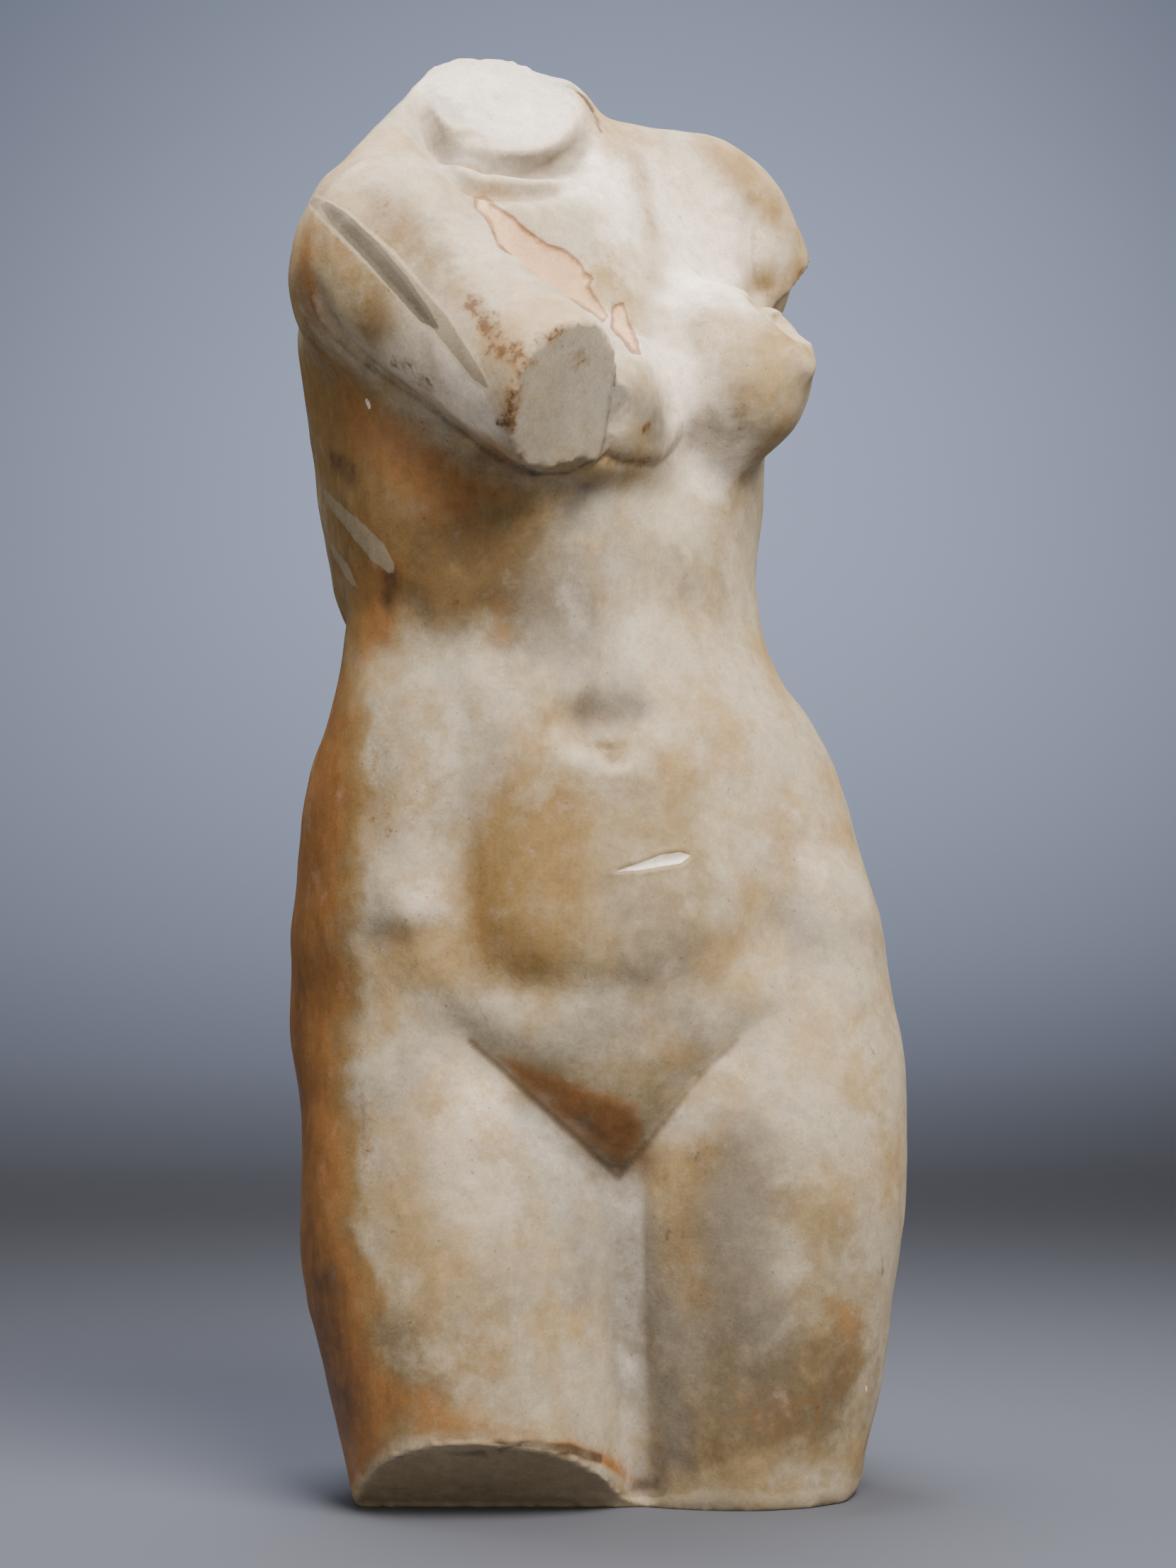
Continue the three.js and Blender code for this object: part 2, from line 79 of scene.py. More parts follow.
# Places on the cast are given as pixels of the picture that the view sees, 1659 across and 2212 down.
PICTURE_MIDDLE = (829.5, 1106.0)
PICTURE_HEIGHT = 2212
PIXELS_PER_SLOPE = LENS / SENSOR * PICTURE_HEIGHT
TO_RIGHT = Vector((math.cos(EYE_TURN), math.sin(EYE_TURN), 0))
AHEAD = Vector((-math.sin(EYE_TURN), math.cos(EYE_TURN), 0))

# A pixel covers this many millimetres of the cast, at this distance from the eye.
PIXEL_SIZE = 0.3
PIXEL_DISTANCE = 1681.6 * MM


def freeze(piece):
    depsgraph = bpy.context.evaluated_depsgraph_get()
    finished = bpy.data.meshes.new_from_object(piece.evaluated_get(depsgraph))
    piece.modifiers.clear()
    piece.data = finished


def points_of(mesh):
    values = np.empty(len(mesh.vertices) * 3)
    mesh.vertices.foreach_get("co", values)
    return values.reshape(-1, 3)


def normals_of(mesh):
    values = np.empty(len(mesh.vertices) * 3)
    mesh.vertex_normals.foreach_get("vector", values)
    return values.reshape(-1, 3)


def edges_of(mesh):
    values = np.empty(len(mesh.edges) * 2, dtype=int)
    mesh.edges.foreach_get("vertices", values)
    return values.reshape(-1, 2)


def mean_of_neighbours(values, edges):
    count = len(values)
    one, other = edges[:, 0], edges[:, 1]
    valence = np.bincount(one, minlength=count) + np.bincount(other, minlength=count)
    columns = values.reshape(count, -1)
    total = [
        np.bincount(one, column[other], count) + np.bincount(other, column[one], count)
        for column in columns.T
    ]
    return (np.array(total) / valence).T.reshape(values.shape)


def on_saw_cut(points, normals, cut, within):
    facing = Vector(cut["facing"]).normalized()
    away = points - np.array(cut["at"]) * MM
    level = np.abs(away @ np.array(facing)) < within
    square_on = normals @ np.array(facing) > SQUARE_ON
    return level & square_on & (np.linalg.norm(away, axis=1) < cut["reach"] * MM)


def surface_of(mesh):
    corners = [tuple(point) for point in points_of(mesh)]
    faces = [tuple(face.vertices) for face in mesh.polygons]
    return BVHTree.FromPolygons(corners, faces)


def ray_through(across, down):
    slope_right = (across - PICTURE_MIDDLE[0]) / PIXELS_PER_SLOPE
    slope_up = (PICTURE_MIDDLE[1] - down) / PIXELS_PER_SLOPE
    return (AHEAD + TO_RIGHT * slope_right + Vector((0, 0, slope_up))).normalized()


def in_picture(points):
    away = points - np.array(EYE)
    ahead = away @ np.array(AHEAD)
    across = PICTURE_MIDDLE[0] + PIXELS_PER_SLOPE * (away @ np.array(TO_RIGHT)) / ahead
    down = PICTURE_MIDDLE[1] - PIXELS_PER_SLOPE * away[:, 2] / ahead
    return across, down, ahead


def place_at(across, down):
    hit = surface.ray_cast(EYE, ray_through(across, down))
    return None if hit[0] is None else np.array(hit[0])


FAR_OUTSIDE = -90.0


def inside_shape(points, shape, reach=90, before=45, beyond=45, margin=30):
    """How far inside a shape drawn on the picture each point is, in millimetres: less than 0 outside.
    It holds near the surface at the shape's middle: so far before it and so far beyond it."""
    middle = place_at(*np.mean(shape, axis=0))
    across, down, ahead = in_picture(points)
    further = ahead - (middle - np.array(EYE)) @ np.array(AHEAD)
    near = np.linalg.norm(points - middle, axis=1) < reach * MM
    near &= further > -(before + margin) * MM
    near &= further < (beyond + margin) * MM
    chosen = np.flatnonzero(near)
    u = across[chosen]
    v = down[chosen]
    away = np.full(len(chosen), np.inf)
    inside = np.zeros(len(chosen), dtype=bool)
    for (u0, v0), (u1, v1) in zip(shape, shape[1:] + shape[:1]):
        side_u = u1 - u0
        side_v = v1 - v0
        t = np.clip(((u - u0) * side_u + (v - v0) * side_v) / (side_u**2 + side_v**2), 0, 1)
        away = np.minimum(away, np.hypot(u - u0 - t * side_u, v - v0 - t * side_v))
        if side_v != 0:
            crossed = (v0 > v) != (v1 > v)
            inside ^= crossed & (u < u0 + (v - v0) * side_u / side_v)
    pixel = PIXEL_SIZE * ahead[chosen] / PIXEL_DISTANCE
    within_depth = np.minimum(further[chosen] + before * MM, beyond * MM - further[chosen]) / MM / 2
    signed = np.full(len(points), FAR_OUTSIDE)
    signed[chosen] = np.minimum(np.where(inside, away, -away) * pixel, within_depth)
    return signed


def beside_edge(flat, edges):
    """The points at both ends of every mesh edge that leaves a flat face."""
    leaving = flat[edges[:, 0]] != flat[edges[:, 1]]
    beside = np.zeros(len(flat), dtype=bool)
    beside[edges[leaving].ravel()] = True
    return beside


def set_points(mesh, points):
    mesh.vertices.foreach_set("co", points.ravel())
    mesh.update()


SAME_POINT = 0.01 * MM
merged = bmesh.new()
merged.from_mesh(cast.data)
bmesh.ops.remove_doubles(merged, verts=merged.verts, dist=SAME_POINT)
merged.to_mesh(cast.data)
merged.free()
cast.data.materials.clear()

fine_faces = cast.modifiers.new("fine_faces", "REMESH")
fine_faces.mode = "VOXEL"
fine_faces.voxel_size = CAST_FACE
freeze(cast)

# The sawn face of the neck ends at this rim, with a rounded lip and a hollow under it.
NECK_RIM = [
    (596, 120), (606, 148), (628, 174), (660, 198), (700, 214), (750, 214), (790, 210), (815, 200),
    (824, 178), (816, 154), (796, 128), (760, 100), (700, 70), (630, 78),
]

surface = surface_of(cast.data)
points = points_of(cast.data)
edges = edges_of(cast.data)
normals = normals_of(cast.data)
cut_faces = {
    name: on_saw_cut(points, normals, cut, within=1.5 * MM) for name, cut in SAW_CUTS.items()
}
cut_faces["neck"] &= inside_shape(points, NECK_RIM) > 0
for name, cut in SAW_CUTS.items():
    facing = np.array(Vector(cut["facing"]).normalized())
    flat = cut_faces[name]
    off = (points[flat] - np.array(cut["at"]) * MM) @ facing
    points[flat] -= np.outer(off, facing)

# Easing in and out by turns takes off the facets and keeps the volume. The cuts stay flat.
EASE_IN = 0.6
EASE_OUT = -0.635
EASING_STEPS = 90
for step in range(EASING_STEPS):
    move = (mean_of_neighbours(points, edges) - points) * (EASE_IN if step % 2 == 0 else EASE_OUT)
    for name, cut in SAW_CUTS.items():
        facing = np.array(Vector(cut["facing"]).normalized())
        flat = cut_faces[name]
        move[flat] -= np.outer(move[flat] @ facing, facing)
    points += move

set_points(cast.data, points)

# Places where the solid's forms meet too sharply: pixels, then the radius in millimetres and how many
# times the place is rounded.
ROUNDING = 0.7
ROUNDED = {
    "top_of_cleft": (870, 1640, 26, 40),
    "cleft": (888, 1800, 15, 40),
    "armpit": (690, 600, 14, 20),
    "chest_fold": (905, 400, 16, 12),
    "lower_cleft": (890, 1960, 14, 40),
    "neck_base": (640, 235, 16, 24),
    "under_neck_rim": (735, 264, 20, 30),
    "left_nipple": (1140, 515, 12, 4),
}
surface = surface_of(cast.data)
for across, down, radius, rounds in ROUNDED.values():
    middle = place_at(across, down)
    share = np.exp(-((np.linalg.norm(points - middle, axis=1) / (radius * MM)) ** 2))
    for step in range(rounds):
        points += (mean_of_neighbours(points, edges) - points) * (ROUNDING * share)[:, None]
set_points(cast.data, points)

# The edges of the cuts stay crisp when the faces are halved.
CUT_EDGE_CREASE = 0.55
crease = np.zeros(len(edges))
for flat in cut_faces.values():
    rim = beside_edge(flat, edges) & flat
    crease[rim[edges[:, 0]] & rim[edges[:, 1]]] = CUT_EDGE_CREASE
attribute = cast.data.attributes.new("crease_edge", "FLOAT", "EDGE")
attribute.data.foreach_set("value", crease)
halved = cast.modifiers.new("halved", "SUBSURF")
halved.levels = 1
halved.render_levels = 1
freeze(cast)


# The carving, as cut into the model before it was moulded: each piece has a width in millimetres and a line
# of pixels with how deep it goes there in millimetres, and a swelling has a negative depth. Soft carving
# fades over its width, and sharp carving comes to a crease.
SOFT_CARVING = {
    "under_neck": (5, [
        (598, 158, 3), (614, 186, 6), (640, 212, 9), (685, 230, 10), (745, 232, 10), (795, 230, 10),
        (828, 206, 6), (838, 178, 2),
    ]),
    "under_neck_lip": (3, [
        (602, 160, 1), (618, 184, 3), (648, 206, 3), (700, 222, 3), (750, 223, 3), (798, 217, 3),
        (824, 192, 2),
    ]),
    "neck_lip": (5, [
        (632, 240, 2), (660, 256, 4), (700, 265, 5), (750, 267, 5), (800, 264, 4), (834, 240, 2),
    ]),
    "collar_hollow": (8, [(606, 190, 3), (624, 225, 4), (650, 252, 4), (700, 272, 2.5), (790, 276, 1)]),
    "neck_muscle": (10, [(850, 200, -1), (890, 250, -1.5), (930, 330, -1)]),
    "shoulder_top": (8, [
        (455, 300, -1), (480, 258, -1.5), (520, 232, -1.5), (575, 228, -1.5), (625, 243, -1),
    ]),
    "shoulder_furrow": (12, [(985, 205, 1.5), (1010, 260, 2), (1030, 330, 2), (1042, 390, 1)]),
    "armpit_fold": (5, [(1064, 290, 1), (1061, 330, 3), (1062, 370, 4), (1070, 408, 4), (1088, 432, 3)]),
    "under_arm": (5, [
        (440, 400, 1), (458, 446, 3), (494, 494, 3.5), (542, 534, 3.5), (592, 570, 3), (650, 610, 2),
    ]),
    "right_breast_side": (13, [(920, 480, -3), (938, 530, -7), (940, 585, -9), (922, 632, -5)]),
    "between_breasts": (5, [(976, 470, 1), (980, 540, 2), (976, 600, 2), (966, 650, 1)]),
    "left_breast_slope": (12, [(1090, 424, 3), (1108, 440, 6), (1130, 456, 8), (1148, 478, 5)]),
    "left_breast_top": (16, [(960, 424, 1), (1010, 410, 2.5), (1056, 408, 3)]),
    "left_nipple": (7, [(1142, 514, -1.5), (1147, 522, -1.5)]),
    "rib_arch": (9, [
        (1000, 700, 0.5), (950, 690, 1.5), (880, 690, 2), (830, 702, 2.5), (792, 745, 2), (765, 800, 1),
    ]),
    "left_waist": (12, [(1062, 890, 2), (1030, 880, 2), (985, 862, 1.5), (930, 850, 1)]),
    "flank_hollow": (12, [(560, 780, 1), (556, 850, 2.5), (540, 895, 1)]),
    "right_waist": (12, [(500, 926, 2), (545, 915, 2), (610, 900, 1.5), (700, 880, 1.5), (770, 870, 1)]),
    "midline": (9, [(884, 700, 1.5), (870, 780, 2), (862, 860, 2), (858, 930, 2)]),
    "above_navel": (10, [(796, 1030, 3), (832, 1020, 7), (874, 1014, 6), (910, 1018, 2)]),
    "below_navel": (8, [(788, 1056, -2), (835, 1080, -2), (880, 1082, -1)]),
    "beside_right_hip": (14, [
        (645, 1010, 1), (652, 1100, 1.5), (655, 1200, 2), (650, 1290, 2.5), (672, 1350, 1),
    ]),
    "beside_left_hip": (14, [(1010, 1080, 1), (1040, 1180, 1.5), (1064, 1260, 2), (1062, 1330, 2)]),
    "right_hip_bone": (11, [(550, 1262, -2), (612, 1275, -1.5)]),
    "under_right_hip": (10, [(530, 1328, 2), (602, 1332, 2)]),
    "left_hip_bone": (11, [(1165, 1238, -1.5), (1190, 1262, -1)]),
    "left_hip_hollow": (16, [(1112, 1292, 1.5), (1150, 1330, 1)]),
    "under_belly": (13, [
        (690, 1385, 0.2), (760, 1402, 0.4), (860, 1407, 0.2), (960, 1395, 0.2), (1030, 1372, 0.2),
    ]),
    "belly_fold": (12, [(720, 1442, -1), (800, 1455, -1.5), (880, 1455, -1.5), (960, 1436, -1)]),
    "right_groin_slope": (11, [(655, 1480, 1), (720, 1545, 2.5), (790, 1615, 2.5), (860, 1672, 1.5)]),
    "left_groin_slope": (11, [(912, 1650, 1.5), (962, 1590, 2.5), (1020, 1520, 2), (1090, 1455, 1)]),
    "left_thigh_hollow": (14, [(1010, 1650, 1), (1000, 1750, 1.5), (1006, 1850, 2), (1020, 1930, 1.5)]),
}
SHARP_CARVING = {
    "right_groin": (3.6, [
        (662, 1468, 0.8), (700, 1500, 2), (755, 1552, 2.5), (810, 1602, 2.5), (850, 1640, 2.5),
        (870, 1655, 2),
    ]),
    "left_groin": (4, [
        (872, 1655, 2), (905, 1622, 2.5), (945, 1572, 3), (1000, 1502, 2.4), (1045, 1462, 1.4),
        (1095, 1428, 0.4),
    ]),
    "web_right_edge": (5, [
        (868, 1668, 1.2), (868, 1760, 1.5), (872, 1860, 1.2), (880, 1960, 1), (893, 2050, 1.5),
        (902, 2105, 2.5),
    ]),
    "web_left_edge": (4.5, [
        (903, 1645, 1.2), (906, 1720, 1.6), (908, 1810, 1.6), (908, 1900, 1.2), (912, 2000, 1),
        (918, 2100, 1.5),
    ]),
    "breast_beside_arm": (2.2, [(864, 565, 0.5), (856, 600, 1), (850, 640, 1.5)]),
    "breast_underside": (3, [(850, 645, 2), (885, 656, 2), (925, 655, 1.5), (952, 630, 0.5)]),
    "navel": (3.8, [(848, 1044, 2), (864, 1052, 7), (866, 1068, 6), (856, 1080, 1)]),
    "navel_fold": (1.5, [(845, 1048, 0.5), (862, 1046, 1.2), (880, 1052, 0.5)]),
    "hair_strand_near": (1.6, [
        (794, 122, 1), (806, 138, 2), (822, 160, 2.2), (838, 184, 1.6), (852, 200, 0.6),
    ]),
    "hair_strand_middle": (1.5, [
        (806, 120, 1), (824, 138, 2), (840, 160, 2), (852, 184, 1.4), (864, 200, 0.6),
    ]),
    "hair_strand_far": (1.4, [(822, 124, 1), (838, 142, 1.5), (850, 164, 1.4)]),
}


def line_on_surface(line, spacing=14):
    """Points along a line of pixels, each moved back onto the cast, with the value that it holds there."""
    laid = []
    for (across0, down0, *value0), (across1, down1, *value1) in zip(line, line[1:]):
        steps = max(1, round(math.hypot(across1 - across0, down1 - down0) / spacing))
        for step in range(steps + 1):
            t = step / steps
            place = place_at(across0 + (across1 - across0) * t, down0 + (down1 - down0) * t)
            if place is not None:
                value = value0[0] + (value1[0] - value0[0]) * t if value0 else 1
                laid.append((place, value))
    return laid


def near_line(points, laid, reach):
    """How far each point is from a line laid on the cast, and the line's value where it is nearest."""
    places = np.array([place for place, value in laid])
    low = places.min(0) - reach
    high = places.max(0) + reach
    close = np.flatnonzero(((points > low) & (points < high)).all(1))
    some = points[close]
    nearest = np.full(len(close), np.inf)
    held = np.zeros(len(close))
    for (start, value0), (end, value1) in zip(laid, laid[1:]):
        along = end - start
        length2 = max(along @ along, 1e-12)
        t = np.clip((some - start) @ along / length2, 0, 1)
        away = np.linalg.norm(some - start - t[:, None] * along, axis=1)
        nearer = away < nearest
        nearest[nearer] = away[nearer]
        held[nearer] = (value0 + (value1 - value0) * t)[nearer]
    return close, nearest, held


def lumps(points, size, seed, waves=14):
    """A smooth random field over the cast, of about one either way, with lumps of a size in millimetres."""
    random = np.random.default_rng(seed)
    total = np.zeros(len(points))
    for wave in range(waves):
        way = random.normal(size=3)
        way /= np.linalg.norm(way)
        pace = 2 * math.pi / (2 * size * MM) * random.uniform(0.6, 1.5)
        total += np.sin(points @ way * pace + random.uniform(0, 2 * math.pi))
    return total / math.sqrt(waves / 2)


SOFT_REACH = 3
SHARP_REACH = 4
SHARP_FALL = 1.3
surface = surface_of(cast.data)
points = points_of(cast.data)
normals = normals_of(cast.data)
edges = edges_of(cast.data)
depth = np.zeros(len(points))
for width, line in SOFT_CARVING.values():
    close, away, deep = near_line(points, line_on_surface(line), SOFT_REACH * width * MM)
    depth[close] += deep * np.exp(-((away / (width * MM)) ** 2))
for width, line in SHARP_CARVING.values():
    close, away, deep = near_line(points, line_on_surface(line), SHARP_REACH * width * MM)
    depth[close] += deep * np.exp(-((away / (width * MM)) ** SHARP_FALL))

# The maker's hand: the surface is a little uneven, in broad swells and in small ones.
BROAD_SWELL = 0.35
SMALL_SWELL = 0.12
depth += BROAD_SWELL * lumps(points, 26, seed=3)
depth += SMALL_SWELL * lumps(points, 9, seed=5)

saw_faces = {
    name: on_saw_cut(points, normals, cut, within=1.2 * MM) for name, cut in SAW_CUTS.items()
}
saw_faces["neck"] &= inside_shape(points, NECK_RIM) > 0
SAWN_UNEVENNESS = 0.15
for flat in saw_faces.values():
    depth[flat] *= SAWN_UNEVENNESS


# The losses. Plaster flaked off along the top of the arm and left two shallow pits with ragged edges,
# something sharp slipped across the belly and turned up a burr, and small chips are gone from the cuts.
FLAKE = [
    (668, 277), (684, 276), (704, 292), (726, 306), (746, 326), (772, 344), (796, 350), (816, 366),
    (826, 383), (839, 392), (831, 404), (846, 426), (859, 446), (851, 456), (834, 441), (814, 430),
    (790, 420), (768, 410), (748, 393), (731, 381), (719, 364), (701, 345), (692, 321), (684, 307),
    (671, 297),
]
SECOND_FLAKE = [
    (864, 430), (880, 426), (887, 450), (900, 480), (904, 501), (890, 499), (877, 480), (861, 464),
]
SLIPPED_CUT = [
    (864, 1230), (900, 1218), (935, 1205), (960, 1202), (975, 1207), (960, 1218), (930, 1223),
    (900, 1228),
]
FLAKE_DEPTH = 1.5
FLAKE_EDGE = 1.2
FLAKE_RAGGEDNESS = 0.5
for shape in (FLAKE, SECOND_FLAKE):
    inside = inside_shape(points, shape) + FLAKE_RAGGEDNESS * lumps(points, 3, seed=7)
    depth += FLAKE_DEPTH * np.clip(inside / FLAKE_EDGE, 0, 1)

SLIPPED_CUT_SLOPE = 0.9
SLIPPED_CUT_WIDER = 0.3
SLIPPED_CUT_HALF_WIDTH = 4
BURR_HEIGHT = 0.5
BURR_WIDTH = 0.8
BURR_AWAY = 1.3
inside = inside_shape(points, SLIPPED_CUT)
depth += SLIPPED_CUT_SLOPE * np.clip(inside + SLIPPED_CUT_WIDER, 0, SLIPPED_CUT_HALF_WIDTH)
depth -= BURR_HEIGHT * np.exp(-(((inside + BURR_AWAY) / BURR_WIDTH) ** 2))

# Chips along the edges of the cuts, where the plaster is weakest.
CHIP_DEPTH = 0.7
CHIP_ROUNDS = 4
CHIP_SPREAD = 0.88
worn = np.zeros(len(points))
for flat in saw_faces.values():
    worn[beside_edge(flat, edges)] = 1
for step in range(CHIP_ROUNDS):
    worn = np.maximum(worn, CHIP_SPREAD * mean_of_neighbours(worn, edges))
depth += CHIP_DEPTH * worn * np.clip(lumps(points, 6, seed=11) - 1, 0, 1)

points -= normals * depth[:, None] * MM
points[saw_faces["ground"], 2] = 0
points[:, 2] = np.maximum(points[:, 2], 0)
set_points(cast.data, points)

# Fewer faces where the surface is plain.
MOST_TRIANGLES = 190000
triangles = sum(len(face.vertices) - 2 for face in cast.data.polygons)
fewer = cast.modifiers.new("fewer_faces", "DECIMATE")
fewer.ratio = min(1, MOST_TRIANGLES / triangles)
freeze(cast)
cast.data.shade_smooth()


# The stains. The plaster took up oil, shellac and dust unevenly, and was wiped and rubbed since. A wash
# fills a shape drawn on the picture and fades over its edge, and a smear follows a line and fades over its
# width. Each starts with that distance in millimetres and with how strong it is.
WASHES = {
    "beige": [
        (14, 0.3, [
            (740, 760), (900, 740), (1070, 760), (1078, 890), (1000, 905), (880, 860), (760, 900),
            (640, 930),
        ]),
        (10, 0.8, [
            (690, 1130), (860, 1080), (1000, 1090), (1022, 1250), (1012, 1340), (900, 1405), (740, 1405),
            (670, 1350), (650, 1230),
        ]),
        (18, 0.4, [
            (545, 1550), (760, 1560), (800, 1700), (800, 1900), (870, 2060), (530, 2050), (520, 1700),
        ]),
        (20, 0.8, [
            (930, 1650), (1000, 1600), (1100, 1620), (1220, 1700), (1250, 1800), (1205, 2120),
            (920, 2120), (920, 1800),
        ]),
        (8, 0.7, [(720, 1480), (860, 1490), (1000, 1480), (880, 1650), (860, 1650)]),
        # Painted shade under the left breast, with some staining.
        (12, 0.6, [(1040, 520), (1130, 540), (1110, 620), (1070, 650), (1040, 610)]),
        (12, 0.7, [(430, 300), (560, 260), (700, 420), (720, 560), (640, 600), (520, 520), (430, 420)]),
    ],
    "ochre": [
        (22, 1.3, [
            (425, 430), (500, 505), (580, 575), (650, 640), (720, 690), (790, 690), (770, 760),
            (740, 830), (690, 900), (600, 875), (560, 930), (470, 940), (440, 700), (410, 560),
        ]),
        (22, 1.15, [
            (670, 1110), (725, 1060), (745, 990), (792, 980), (800, 1040), (790, 1090), (830, 1110),
            (850, 1180), (835, 1290), (800, 1380), (740, 1410), (670, 1400), (625, 1320), (630, 1220),
        ]),
        (24, 0.5, [
            (800, 1090), (880, 1060), (950, 1065), (1000, 1120), (1010, 1200), (980, 1290), (900, 1345),
            (830, 1360), (760, 1340),
        ]),
        (12, 0.4, [
            (560, 1580), (640, 1560), (720, 1600), (740, 1700), (730, 1850), (740, 1960), (660, 2000),
            (560, 2030), (540, 1850),
        ]),
        (8, 0.6, [(556, 1990), (640, 1985), (760, 2000), (850, 2030), (800, 2040), (560, 2055)]),
    ],
    "olive": [
        (30, 0.9, [
            (560, 690), (700, 700), (790, 690), (790, 790), (760, 860), (700, 920), (600, 940),
            (540, 860),
        ]),
        (22, 1.15, [
            (980, 1860), (1090, 1880), (1190, 1850), (1235, 1880), (1235, 1990), (1190, 2060),
            (1060, 2080), (970, 2080),
        ]),
        (16, 1.0, [(510, 1820), (590, 1860), (650, 1960), (650, 2020), (560, 2050), (520, 1980)]),
        (12, 0.45, [(460, 340), (510, 370), (550, 430), (560, 490), (520, 490), (470, 430)]),
        (14, 0.75, [(480, 250), (580, 240), (650, 330), (680, 420), (600, 430), (520, 330)]),
        # Painted shade under the left breast, with some staining.
        (14, 0.35, [(1060, 530), (1130, 560), (1110, 630), (1070, 650), (1050, 600)]),
    ],
    "brown": [
        (16, 1.05, [
            (440, 470), (500, 530), (560, 575), (640, 625), (720, 672), (785, 684), (740, 716),
            (660, 740), (600, 740), (540, 700), (480, 640),
        ]),
        (18, 0.9, [(490, 780), (556, 790), (560, 860), (540, 940), (490, 960)]),
        (8, 1.4, [
            (684, 1476), (760, 1502), (830, 1526), (905, 1556), (910, 1600), (874, 1650), (800, 1596),
            (740, 1543),
        ]),
    ],
    "pale": [
        (16, 0.75, [
            (560, 90), (700, 60), (800, 110), (860, 200), (1000, 190), (1080, 330), (1060, 460),
            (980, 520), (900, 420), (760, 330), (640, 250), (590, 200),
        ]),
        (14, 0.3, [(560, 930), (700, 930), (690, 1100), (640, 1220), (560, 1200), (545, 1050)]),
        (24, 0.3, [
            (1030, 920), (1090, 960), (1180, 1150), (1230, 1300), (1250, 1500), (1180, 1600),
            (1110, 1450), (1090, 1200), (1030, 1080),
        ]),
    ],
}
